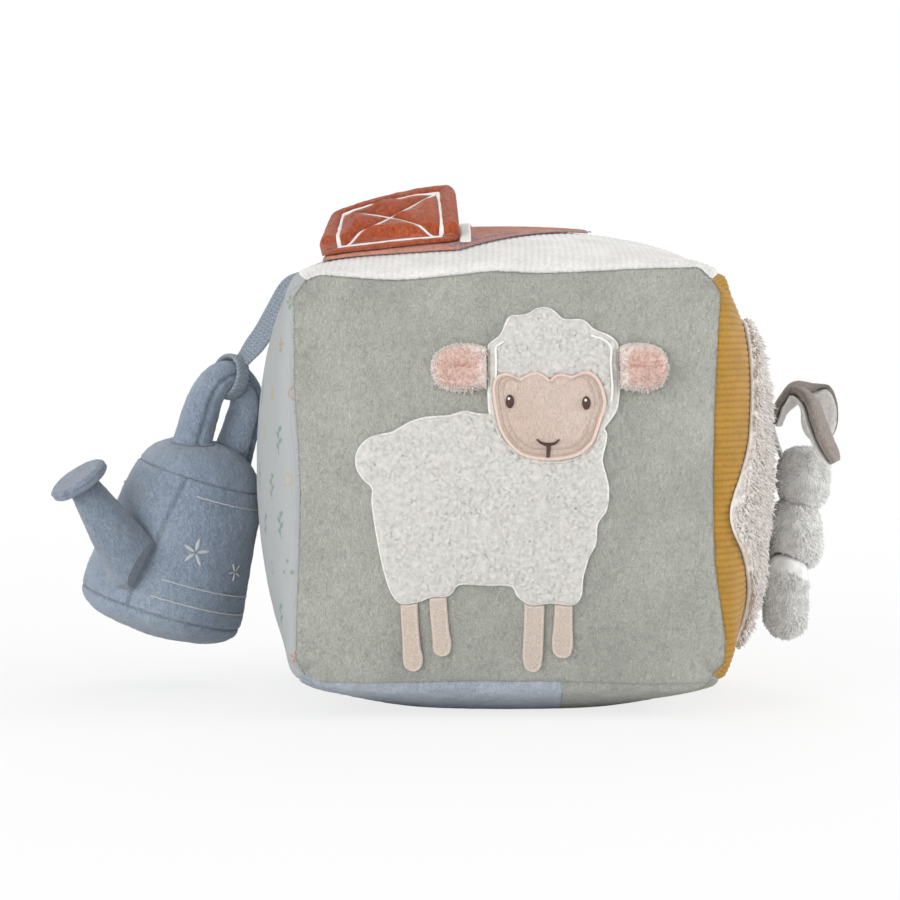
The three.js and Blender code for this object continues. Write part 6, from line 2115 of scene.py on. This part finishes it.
def add_tab():
    route = [np.zeros(3)]
    for i in range(1, 5):
        drop = 20 * i / 4
        height = 108 - drop - CENTRE[2]
        local, _ = RIGHT.flat_lift(np.array([0.0]), np.array([height]), np.array([3.2]))
        x = RIGHT.world(local)[0, 0] + 1.6 - PIVOT[0]
        route.append(np.array([x + (13.5 - 9.5) * (i / 4) ** 2, 0, -drop]))
    path = resample(PIVOT + catmull(route, 12, centripetal=True), 0.5)
    head_room = HEAD_SIZE / 2 + 0.3
    path = path[np.linalg.norm((path - HEAD_AT) / head_room, axis=1) > 1.0]
    out, across = path_frames(path, X)
    t = np.linspace(-1, 1, 17)
    edge = np.sqrt(np.clip(1 - t**4, 0, 1))
    weave_wave = 0.08 * np.cos(np.arange(len(path)) * np.pi / 1.5)
    flat = path[:, None] + across[:, None] * (t * 4)[None, :, None]
    outer = flat + out[:, None] * (0.85 * edge[None] + weave_wave[:, None] * edge)[..., None]
    inner = flat - out[:, None] * (0.85 * edge + 0.05)[None, :, None]
    points, faces = between_grids(outer, inner)
    add_mesh(
        "bunny_tab_cloth", points, faces, BUNNY_CLOTH, "bunny", pile=np.full(len(points), 0.8),
        nodes=["bunny_tab"],
    )


add_tab()

EAR_TURNS = [((0.1, 1, -0.4), (0.35, 1, 0)), ((0, 1, 0.3), (-1, 0.35, 0))]
EAR_ROUTES = [
    [
        (0, 0, 0), (0.14, 0.1, 0.6), (0.34, 0.3, 0.95), (0.52, 0.55, 0.72), (0.65, 0.75, 0.05),
        (0.79, 0.9, -0.65), (0.97, 1, -1.3),
    ],
    [
        (0, 0, 0), (0.26, 0.12, 0.6), (0.54, 0.4, 1.05), (0.78, 0.65, 1.05), (0.9, 0.85, 0.5),
        (0.92, 1, -0.15), (0.92, 1, -0.75),
    ],
]


def add_ears():
    for i, side in enumerate(("left", "right")):
        direction = -1 if i == 0 else 1
        start = PIVOT + np.array([2.0, direction * 9.1, -7.0])
        route = [start + np.array([x * 21, direction * y * 10, z * 11]) for x, y, z in EAR_ROUTES[i]]
        path = catmull(route, 20, centripetal=True)
        t = np.linspace(0, 1, len(path))
        full = 9 + (14 - 9) * np.minimum(t * 2, 1)
        past = np.clip((t - 0.78) / (1.02 - 0.78), 0, 1)
        width = full * np.sqrt(1 - past**2)
        root_side, tip_side = (np.array(v, float) for v in EAR_TURNS[i])
        hint = root_side + (tip_side - root_side) * smooth(t, 0, 0.75)[:, None]
        along = unit(np.gradient(path, axis=0))
        across = unit(hint - (hint * along).sum(-1, keepdims=True) * along)
        out = np.cross(across, along)
        columns = 33
        s = np.linspace(-1, 1, columns)
        edge = np.sqrt(np.clip(1 - np.abs(s) ** 3, 0, 1))
        for layer, low, high, look, slot in (
            ("outer", -2.0 - (2.2, 0)[i] * smooth(t, 0.15, 0.5)[:, None], 0.3, TAUPE, "velour_taupe"),
            ("lining", 0.55, 2.4, LINING, "lining_cream"),
        ):
            base = path[:, None] + across[:, None] * (s[None] * width[:, None] / 2)[..., None]
            tip = np.sqrt(1 - 0.96 * past**6)[:, None]
            middle, half = (low + high) / 2 * (0.3 + 0.7 * tip), (high - low) / 2 * tip
            fuzz = noise(base, 1.2, 130 + i) * 0.08
            upper = base + out[:, None] * (middle + half * edge + fuzz)[..., None]
            lower = base + out[:, None] * (middle - half * edge + fuzz)[..., None]
            points, faces = between_grids(upper, lower)
            pile = np.clip(0.8 + 2.5 * fuzz, 0, 1)
            piece = add_mesh(
                "bunny_ear_%s_%s_cloth" % (side, layer), points, faces, look, "bunny_ear_" + side,
                pile=np.concatenate([pile.ravel(), pile.ravel()]),
                nodes=["bunny_ear_%s_%s" % (side, layer)],
            )


add_ears()

# Floor and background

stage_mesh = bpy.data.meshes.new("studio_floor")
stage_mesh.from_pydata([(-30, -30, 0), (30, -30, 0), (30, 30, 0), (-30, 30, 0)], [], [(0, 1, 2, 3)])
floor = bpy.data.objects.new("studio_floor", stage_mesh)
bpy.context.scene.collection.objects.link(floor)
floor.location.z = -0.0004


def emptied(owner):
    """Empties the node tree of a material or world, and returns what adds nodes and links to it."""
    owner.use_nodes = True
    tree = owner.node_tree
    tree.nodes.clear()

    def make(kind, operation=None, **values):
        made = tree.nodes.new(kind)
        if operation:
            made.operation = operation
        for socket, value in values.items():
            made.inputs[socket.replace("_", " ")].default_value = value
        return made

    return make, tree.links.new


floor_look = bpy.data.materials.new("pale_floor")
make, link = emptied(floor_look)
output = make("ShaderNodeOutputMaterial")
blend = make("ShaderNodeMixShader")
paint = make("ShaderNodeBsdfDiffuse", Color=(0.9, 0.9, 0.9, 1))
glow = make("ShaderNodeEmission", Strength=1.0)
seen = make("ShaderNodeLightPath")
share = make("ShaderNodeMath", "MULTIPLY")
texture_place = make("ShaderNodeTexCoord")
reach = make("ShaderNodeVectorMath", "LENGTH")
fade = make("ShaderNodeMapRange", From_Min=0.2, From_Max=0.8, To_Min=0.78, To_Max=1.0)
link(texture_place.outputs["Object"], reach.inputs[0])
link(reach.outputs["Value"], fade.inputs["Value"])
link(fade.outputs["Result"], share.inputs[1])
link(seen.outputs["Is Camera Ray"], share.inputs[0])
link(share.outputs[0], blend.inputs[0])
link(paint.outputs[0], blend.inputs[1])
link(glow.outputs[0], blend.inputs[2])
link(blend.outputs[0], output.inputs["Surface"])
stage_mesh.materials.append(floor_look)

world = bpy.data.worlds.new("studio")
bpy.context.scene.world = world
make, link = emptied(world)
output = make("ShaderNodeOutputWorld")
blend = make("ShaderNodeMixShader")
room = make("ShaderNodeBackground", Color=(1, 1, 1, 1), Strength=0.62)
white = make("ShaderNodeBackground", Color=(1, 1, 1, 1), Strength=1.0)
seen = make("ShaderNodeLightPath")
link(seen.outputs["Is Camera Ray"], blend.inputs[0])
link(room.outputs[0], blend.inputs[1])
link(white.outputs[0], blend.inputs[2])
link(blend.outputs[0], output.inputs["Surface"])
